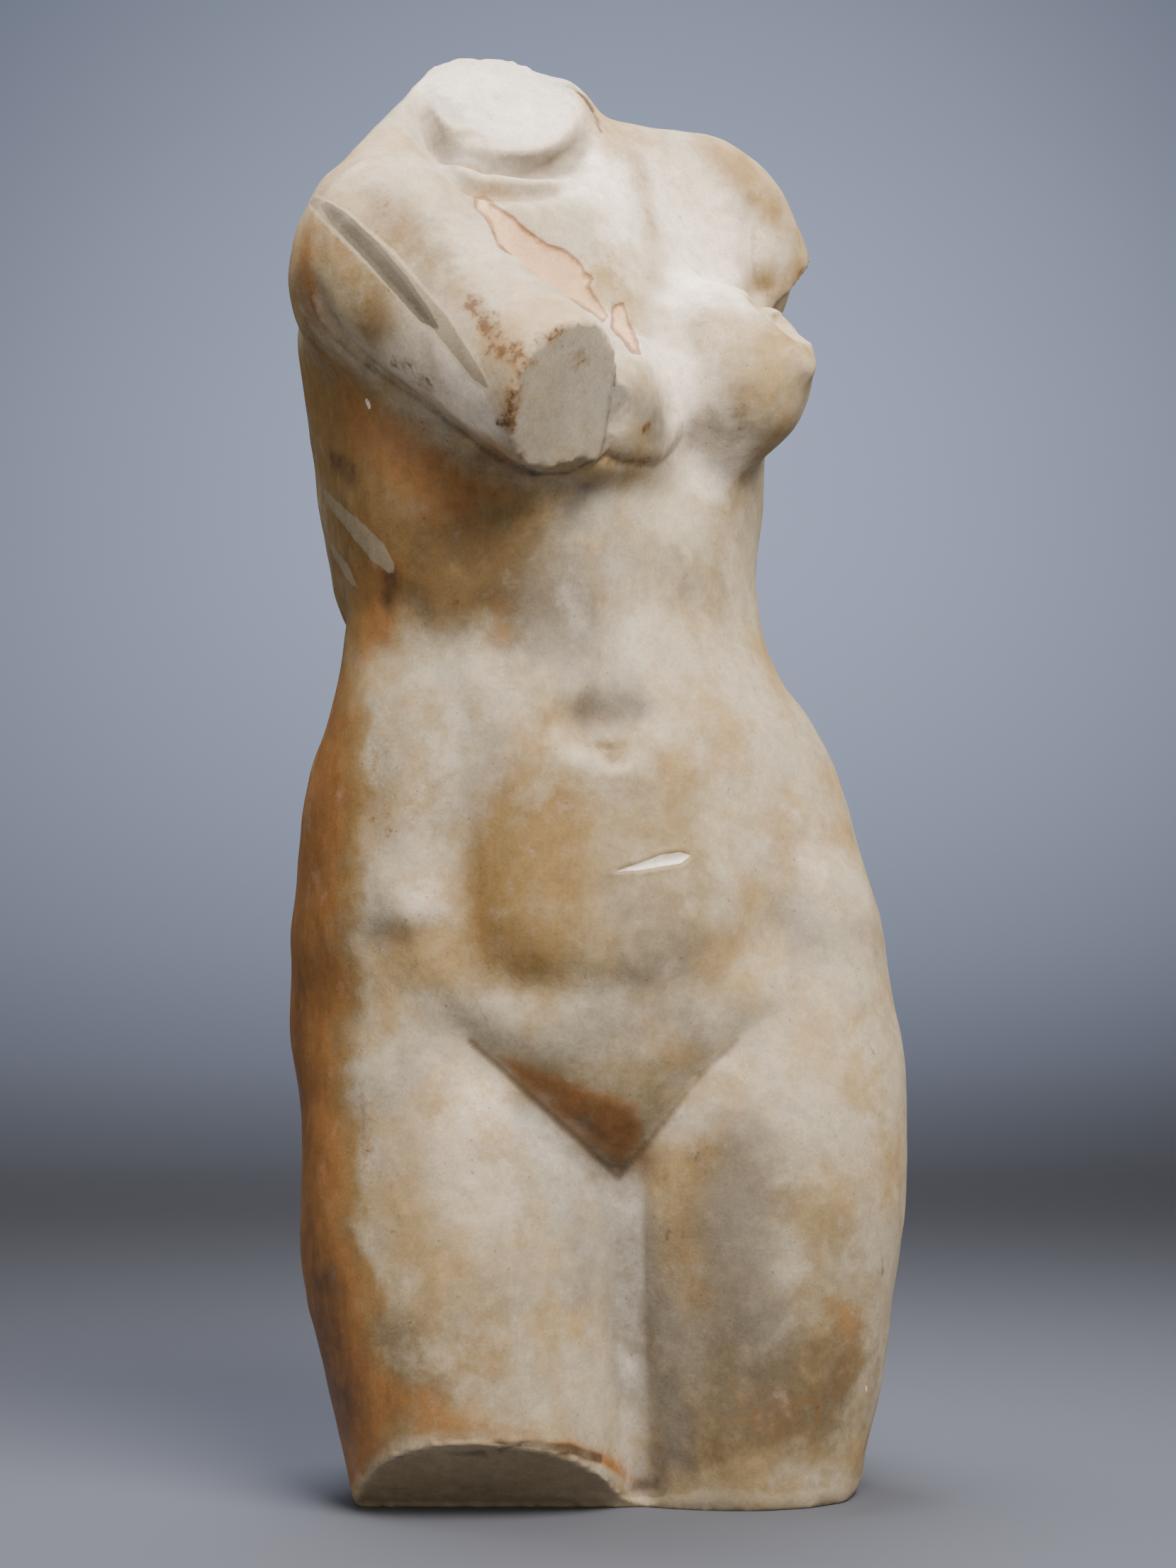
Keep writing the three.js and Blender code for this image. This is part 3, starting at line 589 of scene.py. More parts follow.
SMEARS = {
    "beige": [
        (10, 0.5, [(905, 230), (925, 300), (930, 400)]),
        (12, 0.7, [(840, 300), (860, 380)]),
        (9, 0.8, [(622, 120), (650, 180)]),
        # Painted shadow with grime at the left of the band under the neck's lip.
        (7, 0.9, [(640, 212), (680, 232)]),
        (12, 0.6, [(960, 440), (1060, 470)]),
    ],
    "olive": [
        (8, 0.7, [(700, 850), (716, 900)]),
        (26, 0.55, [(720, 830), (800, 870)]),
        (10, 0.6, [(1085, 402), (1112, 404)]),
    ],
    "ochre": [
        (22, 0.5, [(570, 330), (650, 410)]),
        (10, 0.75, [(895, 225), (915, 300), (925, 390)]),
        (6, 0.3, [(985, 220), (1000, 270)]),
        (14, 1.0, [(1005, 205), (1050, 240), (1085, 290)]),
        (11, 0.9, [(1085, 400), (1112, 402), (1128, 380)]),
        (11, 0.7, [(1105, 470), (1138, 500)]),
        (14, 0.6, [(960, 1630), (955, 1720), (975, 1820)]),
        (12, 0.7, [(480, 360), (505, 410), (530, 460)]),
        (12, 0.4, [(1095, 1640), (1120, 1700)]),
        (14, 0.5, [(1190, 1870), (1220, 1910), (1195, 1960)]),
        (9, 0.4, [(1118, 1190), (1115, 1230)]),
        (9, 0.6, [(890, 1050), (930, 1075), (960, 1100)]),
        (12, 0.5, [(555, 1345), (640, 1360)]),
        (9, 0.5, [(625, 140), (655, 180)]),
        (10, 0.5, [(540, 180), (590, 140)]),
        (13, 0.6, [(690, 1890), (650, 1900)]),
        (8, 0.6, [(980, 1640), (1010, 1610)]),
        (20, 0.5, [(446, 560), (460, 640)]),
    ],
    "brown": [
        (9, 0.9, [(436, 330), (428, 380), (440, 440)]),
        (8, 0.9, [(556, 800), (552, 840), (536, 880)]),
        (7, 0.6, [(702, 860), (708, 890)]),
        (7, 0.7, [(640, 700), (620, 720)]),
        (7, 0.6, [(1180, 1836), (1196, 1862)]),
        (12, 0.35, [(1200, 1890), (1216, 1950), (1196, 2010)]),
        (12, 0.3, [(1150, 1960), (1110, 1990), (1080, 2010)]),
        (10, 0.6, [(900, 1630), (850, 1600)]),
        (8, 0.6, [(590, 1995), (620, 2005), (680, 2000)]),
        (5, 0.9, [(606, 98), (612, 112)]),
        (5, 0.6, [(604, 120), (640, 150)]),
        (8, 0.6, [(1110, 412), (1132, 385)]),
        # Painted shade in the hollow above the navel.
        (9, 0.35, [(824, 1008), (868, 1000)]),
        (3, 1.3, [
            (515, 2086), (560, 2066), (600, 2052), (660, 2044), (740, 2036), (800, 2042), (850, 2058),
            (888, 2082),
        ]),
        (8, 0.35, [(560, 2040), (660, 2030), (760, 2016), (850, 2036)]),
        (5, 0.6, [(728, 520), (735, 560), (722, 606)]),
        (6, 0.7, [(690, 620), (712, 650)]),
        (10, 0.6, [(560, 1960), (600, 1975)]),
    ],
    "umber": [
        (2, 1.4, [(550, 2064), (600, 2052), (660, 2045), (740, 2037), (800, 2043), (846, 2058)]),
        (1.4, 1.0, [(802, 122), (826, 140), (842, 168), (848, 186)]),
        (1.2, 0.9, [(822, 118), (846, 142), (860, 172)]),
        # The next two: painted shade along the underside of the arm, where it stands out from the flank,
        # with brown stain in it.
        (2.2, 0.55, [
            (436, 420), (460, 466), (510, 510), (560, 544), (610, 578), (655, 612), (700, 646),
            (760, 672),
        ]),
        (6, 0.3, [(640, 640), (700, 672), (740, 682)]),
        (7, 0.7, [(470, 650), (500, 670)]),
        (7, 0.8, [(552, 812), (550, 850)]),
        (5, 0.6, [(820, 1580), (868, 1612)]),
        (18, 0.45, [(455, 1780), (475, 1880), (490, 1980)]),
        (14, 0.4, [(424, 1400), (430, 1500), (436, 1600)]),
        (12, 0.5, [(424, 380), (440, 470)]),
    ],
    "pale": [
        (24, 0.9, [(690, 140), (760, 165)]),
        # Painted highlight on the top of the right breast.
        (16, 0.7, [(890, 470), (935, 520)]),
        # Painted highlight on the right hip bone.
        (14, 0.45, [(548, 1268), (612, 1282)]),
        # Painted highlight on the swell below the navel.
        (8, 0.25, [(796, 1062), (840, 1072)]),
        # Painted highlight beside the midline of the belly.
        (14, 0.3, [(900, 880), (890, 930)]),
        (14, 0.4, [(1112, 1760), (1106, 1800)]),
        (11, 0.4, [(690, 1530), (760, 1600), (830, 1660)]),
        (12, 0.35, [(1050, 1490), (990, 1560)]),
        (12, 0.35, [(1080, 2080), (1180, 2075)]),
        (7, 0.5, [(700, 2105), (800, 2100)]),
        (12, 0.5, [(1060, 330), (1100, 350)]),
        (16, 0.5, [(600, 430), (660, 560)]),
        # Painted highlight on the front of the right thigh.
        (24, 0.5, [(640, 1600), (680, 1720)]),
        # Painted light on the underside of the arm, lifting its shade.
        (13, 0.7, [(560, 505), (630, 560), (690, 600)]),
        # Painted light on the lower side of the left breast, lifting its shade.
        (17, 1.0, [(978, 560), (995, 610), (1015, 650)]),
    ],
    "grey": [
        # Painted shade in the hollow above the navel.
        (12, 1.15, [(826, 1006), (850, 1000), (890, 994)]),
        # The next five: painted shadow with grime in the band under the neck's lip and in the hollow below
        # it.
        (6.5, 1.0, [(608, 164), (622, 196), (650, 220), (700, 232), (750, 234), (800, 226), (826, 200)]),
        (8, 0.7, [(740, 240), (800, 232)]),
        (7, 0.7, [(634, 240), (690, 268), (780, 275)]),
        (8, 0.8, [(720, 232), (800, 238)]),
        (6, 0.9, [(612, 180), (634, 228)]),
        # Painted shade under the right breast.
        (12, 1.0, [(885, 570), (930, 600)]),
        # Painted shade under the left breast, with some staining.
        (16, 0.7, [(1020, 590), (1060, 570)]),
        (9, 1.0, [(825, 690), (804, 740), (785, 800)]),
        (24, 0.4, [(850, 790), (940, 800), (1020, 850)]),
        (20, 0.6, [(650, 960), (680, 1060), (670, 1120)]),
        (26, 1.25, [(750, 820), (800, 880)]),
        (24, 0.7, [(880, 1280), (960, 1330), (900, 1370)]),
        # Painted shadow in the hollow beside the left hip bone.
        (18, 0.7, [(1100, 1290), (1130, 1320)]),
        (20, 0.6, [(560, 1400), (600, 1480), (560, 1530)]),
        (16, 0.8, [(760, 1600), (810, 1700), (820, 1820)]),
        (13, 1.2, [(872, 1670), (888, 1800), (892, 1950)]),
        (26, 1.05, [(1040, 1620), (1030, 1800), (1070, 1900)]),
        (16, 1.0, [(935, 1850), (945, 2050)]),
        (10, 0.9, [(905, 2085), (915, 2105)]),
        (26, 0.6, [(770, 600), (800, 540)]),
        (12, 0.6, [(820, 1450), (980, 1440)]),
        (12, 0.3, [(540, 520), (620, 570)]),
        (11, 0.6, [(735, 590), (760, 640)]),
        (30, 0.5, [(990, 1900), (1060, 2000)]),
        # Painted shade on the thigh below the right groin's crease.
        (10, 0.9, [(740, 1565), (800, 1612), (850, 1658)]),
    ],
    "scuff": [
        (14, 0.5, [(885, 1700), (890, 1900), (892, 2060)]),
        (16, 0.4, [(690, 1530), (760, 1600), (830, 1660)]),
        (20, 0.4, [(860, 700), (860, 800), (840, 900)]),
        (14, 0.4, [(620, 960), (640, 1100), (620, 1200)]),
        (20, 0.3, [(1060, 960), (1110, 1120), (1180, 1260)]),
        (18, 0.3, [(780, 1640), (800, 1800), (800, 1960)]),
        (14, 0.3, [(620, 500), (680, 560)]),
        (12, 0.4, [(1030, 1500), (960, 1600)]),
    ],
    # Narrow dark lines. Those in the creases of the groin and of the cleft between the thighs, beside and
    # under the right breast, under the arm, at the base of the neck, in the armpit and in the navel are
    # painted shade with some dirt in them; the rest, between the hair's strands, at the foot of the cleft,
    # along the thigh's cut, down the right side and in short specks, are dark marks.
    "crease_shade_and_dirt": [
        (2.2, 1.0, [(664, 1470), (700, 1501), (755, 1553), (810, 1603), (850, 1641), (872, 1656)]),
        (2.4, 0.9, [(872, 1656), (905, 1623), (945, 1573), (1000, 1503), (1042, 1466)]),
        (3.0, 0.5, [(905, 1640), (908, 1720), (912, 1800), (904, 1870)]),
        (2.4, 0.45, [(868, 1668), (870, 1760), (866, 1860), (862, 1930)]),
        (1.8, 0.9, [(868, 528), (860, 570), (852, 620), (846, 645), (800, 668), (750, 668)]),
        (2.0, 0.5, [(850, 645), (885, 658), (925, 656)]),
        (2.6, 0.6, [(616, 172), (628, 205), (642, 238), (664, 255)]),
        (2.0, 0.5, [(630, 180), (680, 214), (730, 228)]),
        (2.0, 0.6, [(1062, 320), (1062, 360), (1066, 400)]),
        (1.6, 0.8, [(806, 120), (826, 144), (846, 170), (860, 188)]),
        (1.4, 0.6, [(816, 116), (838, 136), (858, 162), (874, 188)]),
        (4.0, 1.0, [(895, 2095), (925, 2092)]),
        (1.6, 0.9, [(560, 2056), (620, 2053), (700, 2047), (742, 2033)]),
        (2.0, 0.6, [(507, 1480), (512, 1560), (515, 1640)]),
        (1.2, 0.7, [(672, 1412), (686, 1438)]),
        (1.0, 0.8, [(1205, 1462), (1222, 1468), (1233, 1486)]),
        (1.0, 0.8, [(1228, 1330), (1238, 1350)]),
        (1.4, 0.9, [(1244, 1760), (1246, 1800)]),
        (1.2, 1.0, [(1014, 936), (1016, 944)]),
        (1.0, 0.8, [(975, 1640), (1000, 1616)]),
        (1.0, 0.8, [(930, 1730), (966, 1744)]),
        (1.0, 0.8, [(940, 1750), (950, 1722)]),
        (1.2, 0.8, [(552, 1672), (562, 1654)]),
        (1.2, 0.8, [(704, 1922), (716, 1918)]),
        (1.4, 0.9, [(860, 1052), (858, 1066)]),
    ],
    "rust": [
        (7, 1.0, [(668, 430), (690, 460), (712, 500)]),
        (5, 0.8, [(735, 490), (760, 480), (790, 468)]),
        (5, 1.0, [(740, 510), (728, 560), (718, 600)]),
        (3, 1.0, [(810, 512), (830, 500), (842, 500)]),
        (4, 0.8, [(850, 648), (880, 650), (925, 650)]),
        (3, 1.0, [(908, 607), (916, 600)]),
        (3, 0.8, [(1034, 585), (1045, 575)]),
        (3, 0.8, [(1045, 590), (1044, 615)]),
        (12, 0.7, [(520, 280), (570, 310)]),
        (8, 0.7, [(560, 510), (600, 540)]),
        (12, 0.6, [(590, 750), (690, 770)]),
        (10, 0.6, [(600, 830), (640, 860)]),
        (16, 0.5, [(1040, 1980), (1160, 1990)]),
        (9, 0.6, [(535, 1060), (540, 1180)]),
        (8, 0.6, [(515, 1560), (530, 1680)]),
        (6, 0.5, [(690, 135), (720, 145)]),
        (8, 0.5, [(600, 2030), (660, 2030)]),
    ],
}

# The brown run down the right side: it starts at this line and wraps round towards the back.
SIDE_RUN_EDGE = [
    (440, 300), (470, 560), (455, 700), (480, 860), (512, 940), (520, 1000), (532, 1080), (530, 1150),
    (512, 1215), (516, 1300), (522, 1400), (508, 1460), (510, 1560), (516, 1660), (522, 1740),
    (536, 1800), (548, 1860), (560, 1920), (585, 1980), (560, 2050), (540, 2130),
]
SIDE_RUN_FADES_FROM = 35 * MM
SIDE_RUN_FADES_OVER = 60 * MM

# Each of its coats has its strength, how many millimetres inside the line it starts, and over how many
# more it fills.
SIDE_RUN_COATS = {
    "brown": (1.2, 1, 18),
    "ochre": (1.1, -5, 14),
    "umber": (0.5, 18, 14),
}
BEIGE_DOWN = 0.25
SCUFF_ALL_OVER = 0.1
SMEAR_REACH = 2.6

surface = surface_of(cast.data)
points = points_of(cast.data)
normals = normals_of(cast.data)
edges = edges_of(cast.data)


def paint(name, values):
    layer = cast.data.attributes.new(name, "FLOAT", "POINT")
    layer.data.foreach_set("value", values.astype(np.float32))


def eased(values):
    share = np.clip(values, 0, 1)
    return share * share * (3 - 2 * share)


def add_cover(name, chosen, cover):
    covers[name][chosen] = 1 - (1 - covers[name][chosen]) * (1 - cover)


everywhere = slice(None)
across, down, ahead = in_picture(points)
behind = ahead - (-EYE).dot(AHEAD)
edge_across, edge_down = np.array(SIDE_RUN_EDGE).T
side_run = (np.interp(down, edge_down, edge_across) - across) * PIXEL_SIZE
side_run += 1.5 * lumps(points, 14, seed=21)
side_run += 0.8 * lumps(points, 4, seed=22)
ragged_end = behind + 12 * MM * lumps(points, 30, seed=23)
run_ends = 1 - eased((ragged_end - SIDE_RUN_FADES_FROM) / SIDE_RUN_FADES_OVER)

# Beige grows from the breasts down, everything is a little scuffed, and the run is stronger below the waist.
covers = {name: np.zeros(len(points)) for name in SMEARS}
covers["beige"] += BEIGE_DOWN * eased((down - 480) / 260)
covers["scuff"] += SCUFF_ALL_OVER
waist_down = eased((down - 880) / 120)
lower_down = {
    "brown": 0.3 + 0.7 * waist_down,
    "ochre": 0.4 + 0.6 * waist_down,
    "umber": eased((down - 1000) / 900),
}
for name, (strength, start, span) in SIDE_RUN_COATS.items():
    covers[name] += strength * eased((side_run - start) / span) * run_ends * lower_down[name]

for name, washes in WASHES.items():
    for soft, strength, shape in washes:
        inside = inside_shape(points, shape, reach=400, before=22, beyond=95)
        add_cover(name, everywhere, strength * eased((inside + soft / 2) / (1.5 * soft)))
for name, smears in SMEARS.items():
    for width, strength, line in smears:
        close, away, _ = near_line(points, line_on_surface(line), SMEAR_REACH * width * MM)
        add_cover(name, close, strength * np.exp(-((away / (width * MM)) ** 2)))

# The back is plainer: the same plaster, darker low down, with a few clouds. Each cloud has its size in
# millimetres, its seed, where it starts, how far it takes to fill, and how strong it is.
REAR_FROM = 0.05
REAR_OVER = 0.5
LOW_DOWN = 275.4 * MM
REAR_CLOUDS = {
    "ochre": (42, 31, -0.5, 2.0, 0.7),
    "brown": (30, 33, 0.3, 1.6, 0.5),
    "grey": (36, 35, -0.4, 2.0, 0.35),
    "pale": (38, 37, -0.2, 2.0, 0.3),
}
rear = eased((normals @ np.array(AHEAD) - REAR_FROM) / REAR_OVER)
low_down = 1 - eased(points[:, 2] / LOW_DOWN)
add_cover("beige", everywhere, rear * (0.35 + 0.45 * low_down))
for name, (size, seed, start, span, strength) in REAR_CLOUDS.items():
    cloud = eased((lumps(points, size, seed=seed) - start) / span)
    add_cover(name, everywhere, rear * strength * cloud)
for name, cover in covers.items():
    paint(name, cover)

# Marks with a clear edge hold how far inside them a point is, in millimetres. A stroke is a line of pixels
# with half its width in millimetres.
STROKE_REACH = 30 * MM
ARM_STREAK = [
    (456, 288, 1.5), (476, 306, 3.6), (520, 350, 4.2), (562, 398, 4), (600, 446, 3), (616, 462, 1),
]
ARM_SMEAR = [
    (440, 282, 3), (480, 312, 5.4), (540, 368, 5.8), (620, 455, 5.2), (672, 528, 4), (692, 552, 1.5),
]
FLANK_WIPES = [
    [(444, 676, 1), (470, 712, 3.2), (500, 745, 5), (530, 776, 5.6), (550, 800, 3)],
    [(456, 752, 1), (470, 776, 3), (488, 804, 3.6), (503, 828, 1.4)],
]
BELLY_WIPES = [
    [(778, 1066, 1.5), (764, 1110, 4), (755, 1155, 1)],
    [(700, 1020, 1), (685, 1100, 3), (660, 1160, 1)],
]
NICKS = [
    [(518, 566, 1.3), (521, 574, 1.1)],
    [(583, 628, 0.6), (579, 644, 0.9)],
    [(636, 2052, 1.2), (646, 2049, 1.2)],
    [(870, 2044, 1.2), (874, 2049, 1.2)],
    [(1222, 1954, 0.8), (1222, 1964, 0.8)],
    [(742, 102, 0.8), (748, 106, 0.8)],
    [(474, 2010, 0.7), (478, 2018, 0.7)],
]


def inside_stroke(line):
    signed = np.full(len(points), FAR_OUTSIDE)
    close, away, half_width = near_line(points, line_on_surface(line), STROKE_REACH)
    signed[close] = half_width - away / MM
    return signed


paint("streak", inside_stroke(ARM_STREAK))
paint("smear", inside_stroke(ARM_SMEAR))
paint("wipe", np.maximum.reduce([inside_stroke(wipe) for wipe in FLANK_WIPES]))
paint("belly_wipe", np.maximum.reduce([inside_stroke(wipe) for wipe in BELLY_WIPES]))
paint("flake", np.maximum(inside_shape(points, FLAKE), inside_shape(points, SECOND_FLAKE)))
bare = [inside_shape(points, SLIPPED_CUT)] + [inside_stroke(nick) for nick in NICKS]
paint("bare", np.maximum.reduce(bare))

# Hollows hold dust and edges are rubbed pale, so each point knows how hollow it is in millimetres.
EVENING_ROUNDS = 24
evened = points.copy()
for step in range(EVENING_ROUNDS):
    evened = mean_of_neighbours(evened, edges)
hollow = ((evened - points) * normals).sum(1) / MM
paint("hollow", hollow)
paint("edge", -hollow)

# The sawn faces, and those that the torso stands on. These are coated darker and browner than the plaster:
# brown stain with painted shade, since the thigh's cut faces down into shadow.
CUT_MARKS = {"sawn": ("neck", "right_arm", "left_arm"), "underneath": ("thigh", "ground")}
for mark, names in CUT_MARKS.items():
    marked = np.zeros(len(points))
    for name in names:
        marked[on_saw_cut(points, normals, SAW_CUTS[name], within=1 * MM)] = 1
    paint(mark, marked)


# Plaster of Paris, cast and rubbed smooth: chalky and matt, with a fine grain, small bubbles and pits.
# Age has made it cream, and where shellac soaked in it is ochre to brown and a little glossier.
def linear(code):
    parts = [int(code[i : i + 2], 16) / 255 for i in (1, 3, 5)]
    return (*[c / 12.92 if c <= 0.04045 else ((c + 0.055) / 1.055) ** 2.4 for c in parts], 1)


plaster = bpy.data.materials.new("aged_cast_plaster")
plaster.use_nodes = True
tree = plaster.node_tree
tree.nodes.clear()


def node(kind, settings=None, inputs=None):
    made = tree.nodes.new(kind)
    for name, value in (settings or {}).items():
        setattr(made, name, value)
    for name, value in (inputs or {}).items():
        if isinstance(value, bpy.types.NodeSocket):
            tree.links.new(value, made.inputs[name])
        else:
            made.inputs[name].default_value = value
    return made


# The patterns' sizes: broad clouds of 42 mm, patches of 18, mottling of 6, runs 4 mm wide and eight times
# as long, and a grain that is drawn at 1.3 mm, coarser than the real one, so that it shows.
place = node("ShaderNodeTexCoord").outputs["Object"]
broad = node(
    "ShaderNodeTexNoise",
    inputs={"Vector": place, "Scale": 1 / (42 * MM), "Detail": 8, "Roughness": 0.62},
)
patchy = node(
    "ShaderNodeTexNoise",
    inputs={"Vector": place, "Scale": 1 / (18 * MM), "Detail": 10, "Roughness": 0.68},
)
mottle = node(
    "ShaderNodeTexNoise",
    inputs={"Vector": place, "Scale": 1 / (6 * MM), "Detail": 7, "Roughness": 0.7},
)
grain = node(
    "ShaderNodeTexNoise",
    inputs={"Vector": place, "Scale": 1 / (1.3 * MM), "Detail": 4, "Roughness": 0.7},
)
upright = node("ShaderNodeMapping", inputs={"Vector": place, "Scale": (1, 1, 0.13)})
runs = node(
    "ShaderNodeTexNoise",
    inputs={"Vector": upright.outputs[0], "Scale": 1 / (4 * MM), "Detail": 7, "Roughness": 0.7},
)

# In a colour mix, socket 0 is how much of the second colour shows, 6 and 7 are the two colours, and 2 is
# what comes out.
CREAM = "#b2a791"
WARM_CREAM = "#a3895c"
warm_cover = node(
    "ShaderNodeMapRange",
    {"interpolation_type": "SMOOTHSTEP"},
    {"Value": broad.outputs[0], "From Min": 0.4, "From Max": 0.64, "To Max": 0.85},
)
colour = node(
    "ShaderNodeMix",
    {"data_type": "RGBA"},
    {0: warm_cover.outputs[0], 6: linear(CREAM), 7: linear(WARM_CREAM)},
).outputs[2]

# Each coat: its colour, the mark that it follows, the noise that breaks it up, how much of that noise,
# where it starts and is full, and how much it hides of what lies under it.
COATS = [
    # Several smears and washes that these coats follow are painted light: highlights and lifted shade in the
    # pale coat, and shade and shadow in the grey, beige, olive, brown, umber and underneath coats and along
    # the creases.
    ("#83734f", "beige", patchy, 1.6, 1.0, 1.9, 0.85),
    ("#f8ecdb", "pale", patchy, 1.3, 0.8, 1.6, 0.92),
    ("#726c62", "grey", patchy, 1.4, 0.95, 1.8, 0.75),
    ("#866a38", "ochre", patchy, 1.8, 1.0, 2.1, 0.9),
    ("#805a26", "ochre", runs, 1.9, 1.5, 2.6, 0.5),
    ("#5d4d30", "olive", patchy, 1.8, 1.0, 2.1, 0.75),
    ("#4b3c22", "olive", mottle, 2.4, 1.9, 3.0, 0.5),
    ("#9a6a34", "brown", patchy, 1.6, 1.0, 2.0, 0.9),
    ("#6b421d", "brown", runs, 1.8, 1.6, 2.6, 0.45),
    ("#44301d", "umber", patchy, 1.6, 1.0, 1.8, 0.85),
    ("#d0cabf", "scuff", patchy, 2.2, 1.3, 2.2, 0.6),
    ("#bfb296", "smear", mottle, 1.6, 0.2, 1.1, 0.6),
    ("#887c69", "smear", mottle, 1.6, 1.9, 2.5, 0.8),
    ("#5a5245", "streak", mottle, 1.8, 0.5, 1.2, 0.85),
    ("#39332a", "streak", grain, 4.0, 3.6, 4.2, 0.5),
    ("#9c9078", "wipe", mottle, 2.0, 0.8, 1.7, 0.95),
    ("#a39272", "belly_wipe", mottle, 3.0, 1.0, 3.6, 0.6),
    ("#8a6546", "flake", mottle, 2.0, 0.7, 1.1, 0.9),
    ("#dbb58c", "flake", patchy, 6.0, 3.6, 5.6, 0.85),
    ("#f1eadf", "bare", mottle, 0.6, 0.1, 0.7, 0.95),
    ("#aaa69b", "sawn", patchy, 1.4, 1.2, 1.9, 0.6),
    # Painted shade with brown stain on the faces underneath.
    ("#a08e6e", "underneath", patchy, 1.4, 1.0, 1.6, 0.9),
    ("#d8c9ac", "edge", patchy, 1.4, 1.4, 2.6, 0.35),
    ("#7a5a30", "rust", mottle, 2.8, 1.75, 2.5, 0.75),
    ("#523515", "rust", mottle, 3.6, 2.65, 3.1, 0.8),
    # Painted shade and dirt along the creases.
    ("#4d3f2e", "crease_shade_and_dirt", patchy, 1.2, 0.9, 1.8, 0.75),
    ("#735a3a", "hollow", patchy, 1.6, 1.5, 3.2, 0.35),
]
for code, mark, noise, rough, start, full, hides in COATS:
    amount = node("ShaderNodeAttribute", {"attribute_name": mark})
    broken = node(
        "ShaderNodeMath",
        {"operation": "MULTIPLY_ADD"},
        {0: noise.outputs[0], 1: rough, 2: amount.outputs["Fac"]},
    )
    cover = node(
        "ShaderNodeMapRange",
        {"interpolation_type": "SMOOTHSTEP"},
        {"Value": broken.outputs[0], "From Min": start, "From Max": full, "To Max": hides},
    )
    colour = node(
        "ShaderNodeMix",
        {"data_type": "RGBA"},
        {0: cover.outputs[0], 6: colour, 7: linear(code)},
    ).outputs[2]

# Fine speckle over everything, and a scatter of dark specks and pits about 5.5 mm apart.
speckle = node(
    "ShaderNodeMapRange",
    inputs={
        "Value": grain.outputs[0],
        "From Min": 0.32,
        "From Max": 0.68,
        "To Min": 0.86,
        "To Max": 1.08,
    },
)
smudge = node(
    "ShaderNodeMapRange",
    inputs={
        "Value": mottle.outputs[0],
        "From Min": 0.34,
        "From Max": 0.66,
        "To Min": 0.82,
        "To Max": 1.08,
    },
)
shade = node("ShaderNodeMath", {"operation": "MULTIPLY"}, {0: speckle.outputs[0], 1: smudge.outputs[0]})
speckled = node(
    "ShaderNodeMix",
    {"data_type": "RGBA", "blend_type": "MULTIPLY"},
    {0: 1.0, 6: colour, 7: shade.outputs[0]},
)
pits = node("ShaderNodeTexVoronoi", inputs={"Vector": place, "Scale": 1 / (5.5 * MM)})
PIT = "#5d4c37"
pit_wish = node("ShaderNodeMath", {"operation": "MULTIPLY_ADD"}, {0: patchy.outputs[0], 1: 0.6, 2: -0.2})
pit_size = node("ShaderNodeMath", {"operation": "MAXIMUM"}, {0: pit_wish.outputs[0], 1: 0.04})
pit_cover = node(
    "ShaderNodeMapRange",
    {"interpolation_type": "SMOOTHSTEP"},
    {
        "Value": pits.outputs["Distance"],
        "From Min": 0.03,
        "From Max": pit_size.outputs[0],
        "To Min": 0.6,
        "To Max": 0.0,
    },
)
pitted = node(
    "ShaderNodeMix",
    {"data_type": "RGBA"},
    {0: pit_cover.outputs[0], 6: speckled.outputs[2], 7: linear(PIT)},
)

# Plaster is matt, and a little glossier where shellac soaked in.
brown_mark = node("ShaderNodeAttribute", {"attribute_name": "brown"})
roughness = node(
    "ShaderNodeMapRange",
    inputs={
        "Value": brown_mark.outputs["Fac"],
        "From Min": 0.2,
        "From Max": 1.0,
        "To Min": 0.66,
        "To Max": 0.54,
    },
)
grain_bump = node(
    "ShaderNodeBump",
    inputs={"Strength": 0.6, "Distance": 0.15 * MM, "Height": grain.outputs[0]},
)
mottle_bump = node(
    "ShaderNodeBump",
    inputs={
        "Strength": 0.4,
        "Distance": 0.4 * MM,
        "Height": mottle.outputs[0],
        "Normal": grain_bump.outputs[0],
    },
)
shader = node(
    "ShaderNodeBsdfPrincipled",
    inputs={
        "Base Color": pitted.outputs[2],
        "Roughness": roughness.outputs[0],
        "Normal": mottle_bump.outputs[0],
        "IOR": 1.52,
    },
)
node("ShaderNodeOutputMaterial", inputs={"Surface": shader.outputs[0]})
cast.data.materials.append(plaster)
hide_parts("plaster_torso")
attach(cast, "root")


# The table and backdrop: one sheet of matt grey-blue card. It lies flat under the torso and curves up well
# behind it, so that no line shows where the table ends.
CARD_WIDTH = 6.0
CARD_DEPTH = 3.2
CARD_FRONT = 2.6
CARD_HEIGHT = 3.2
CARD_BEND = 2.1
CARD_BEND_STEPS = 12
CARD_GREY = "#555a65"
card_mesh = bpy.data.meshes.new("card")
card = bpy.data.objects.new("card", card_mesh)
bpy.context.scene.collection.objects.link(card)
profile = [(-CARD_FRONT, 0.0)]
for step in range(CARD_BEND_STEPS + 1):
    angle = math.radians(90) * step / CARD_BEND_STEPS
    further = CARD_DEPTH - CARD_BEND + CARD_BEND * math.sin(angle)
    higher = CARD_BEND - CARD_BEND * math.cos(angle)
    profile.append((further, higher))
profile.append((CARD_DEPTH, CARD_HEIGHT))
sheet = bmesh.new()
line = [sheet.verts.new((-CARD_WIDTH / 2, y, z)) for y, z in profile]
for one, other in zip(line, line[1:]):
    sheet.edges.new((one, other))
swept = bmesh.ops.extrude_edge_only(sheet, edges=sheet.edges)
moved = [item for item in swept["geom"] if isinstance(item, bmesh.types.BMVert)]
bmesh.ops.translate(sheet, verts=moved, vec=(CARD_WIDTH, 0, 0))
bmesh.ops.recalc_face_normals(sheet, faces=sheet.faces)
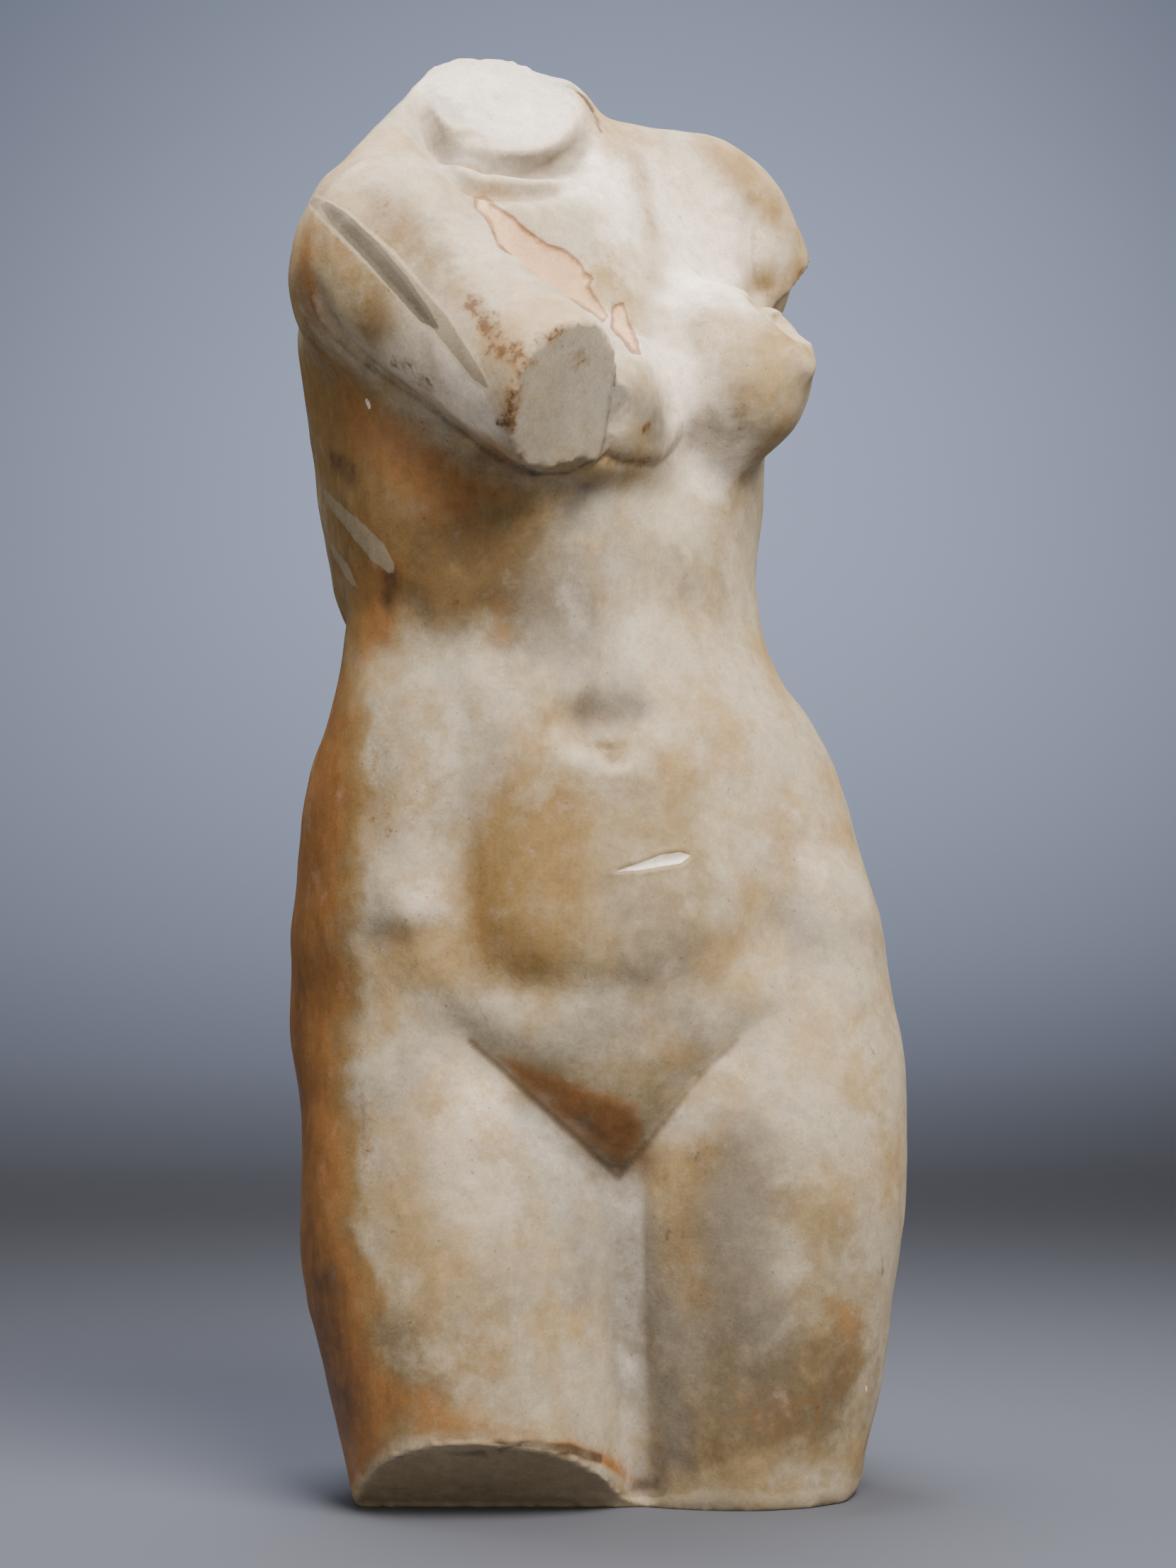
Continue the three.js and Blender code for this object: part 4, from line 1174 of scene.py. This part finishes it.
facing_view = Vector((0, 1, 0)).rotation_difference(AHEAD).to_matrix()
bmesh.ops.rotate(sheet, verts=sheet.verts, cent=(0, 0, 0), matrix=facing_view)
sheet.to_mesh(card_mesh)
sheet.free()
card_mesh.shade_smooth()

# Matt card is one even grey with no shine.
card_paint = bpy.data.materials.new("matt_card")
card_paint.use_nodes = True
card_shader = card_paint.node_tree.nodes["Principled BSDF"]
card_shader.inputs["Base Color"].default_value = linear(CARD_GREY)
card_shader.inputs["Roughness"].default_value = 0.8
card_mesh.materials.append(card_paint)


# The light. A wide soft lamp stands above and before the torso, and weaker ones light it from above, from
# the front and from its right, and one lights the backdrop. Each has its place, what it faces, its size in
# metres, its power in watts, its colour and how wide it spreads in degrees.
LAMPS = [
    ("key", (0.22, -0.86, 1.34), (0, 0, 0.42), 0.9, 12, "#fff4e8", 80),
    ("top", (-0.1, 0.25, 1.9), (0, 0, 0.4), 0.7, 6, "#f8f6ff", 60),
    ("front", (0.7, -1.5, 0.8), (0, 0, 0.3), 1.2, 2, "#fff6ee", 120),
    ("side", (-1.5, -0.5, 0.7), (0, 0, 0.35), 1.0, 1.6, "#fff2e4", 90),
    ("backdrop", (0.5, 1.2, 1.8), (0.6, 2.7, 0.55), 0.7, 37, "#eef2ff", 95),
]
for name, spot, aim, size, power, code, spread in LAMPS:
    lamp_data = bpy.data.lights.new(name, "AREA")
    lamp_data.size = size
    lamp_data.spread = math.radians(spread)
    lamp_data.energy = power
    lamp_data.color = linear(code)[:3]
    lamp = bpy.data.objects.new(name, lamp_data)
    bpy.context.scene.collection.objects.link(lamp)
    lamp.location = spot
    lamp.rotation_euler = (Vector(aim) - Vector(spot)).to_track_quat("-Z", "Y").to_euler()

ROOM_LIGHT = "#cfc9c0"
ROOM_STRENGTH = 0.42
room = bpy.data.worlds.new("room")
room.use_nodes = True
room_shader = room.node_tree.nodes["Background"]
room_shader.inputs["Color"].default_value = linear(ROOM_LIGHT)
room_shader.inputs["Strength"].default_value = ROOM_STRENGTH
bpy.context.scene.world = room
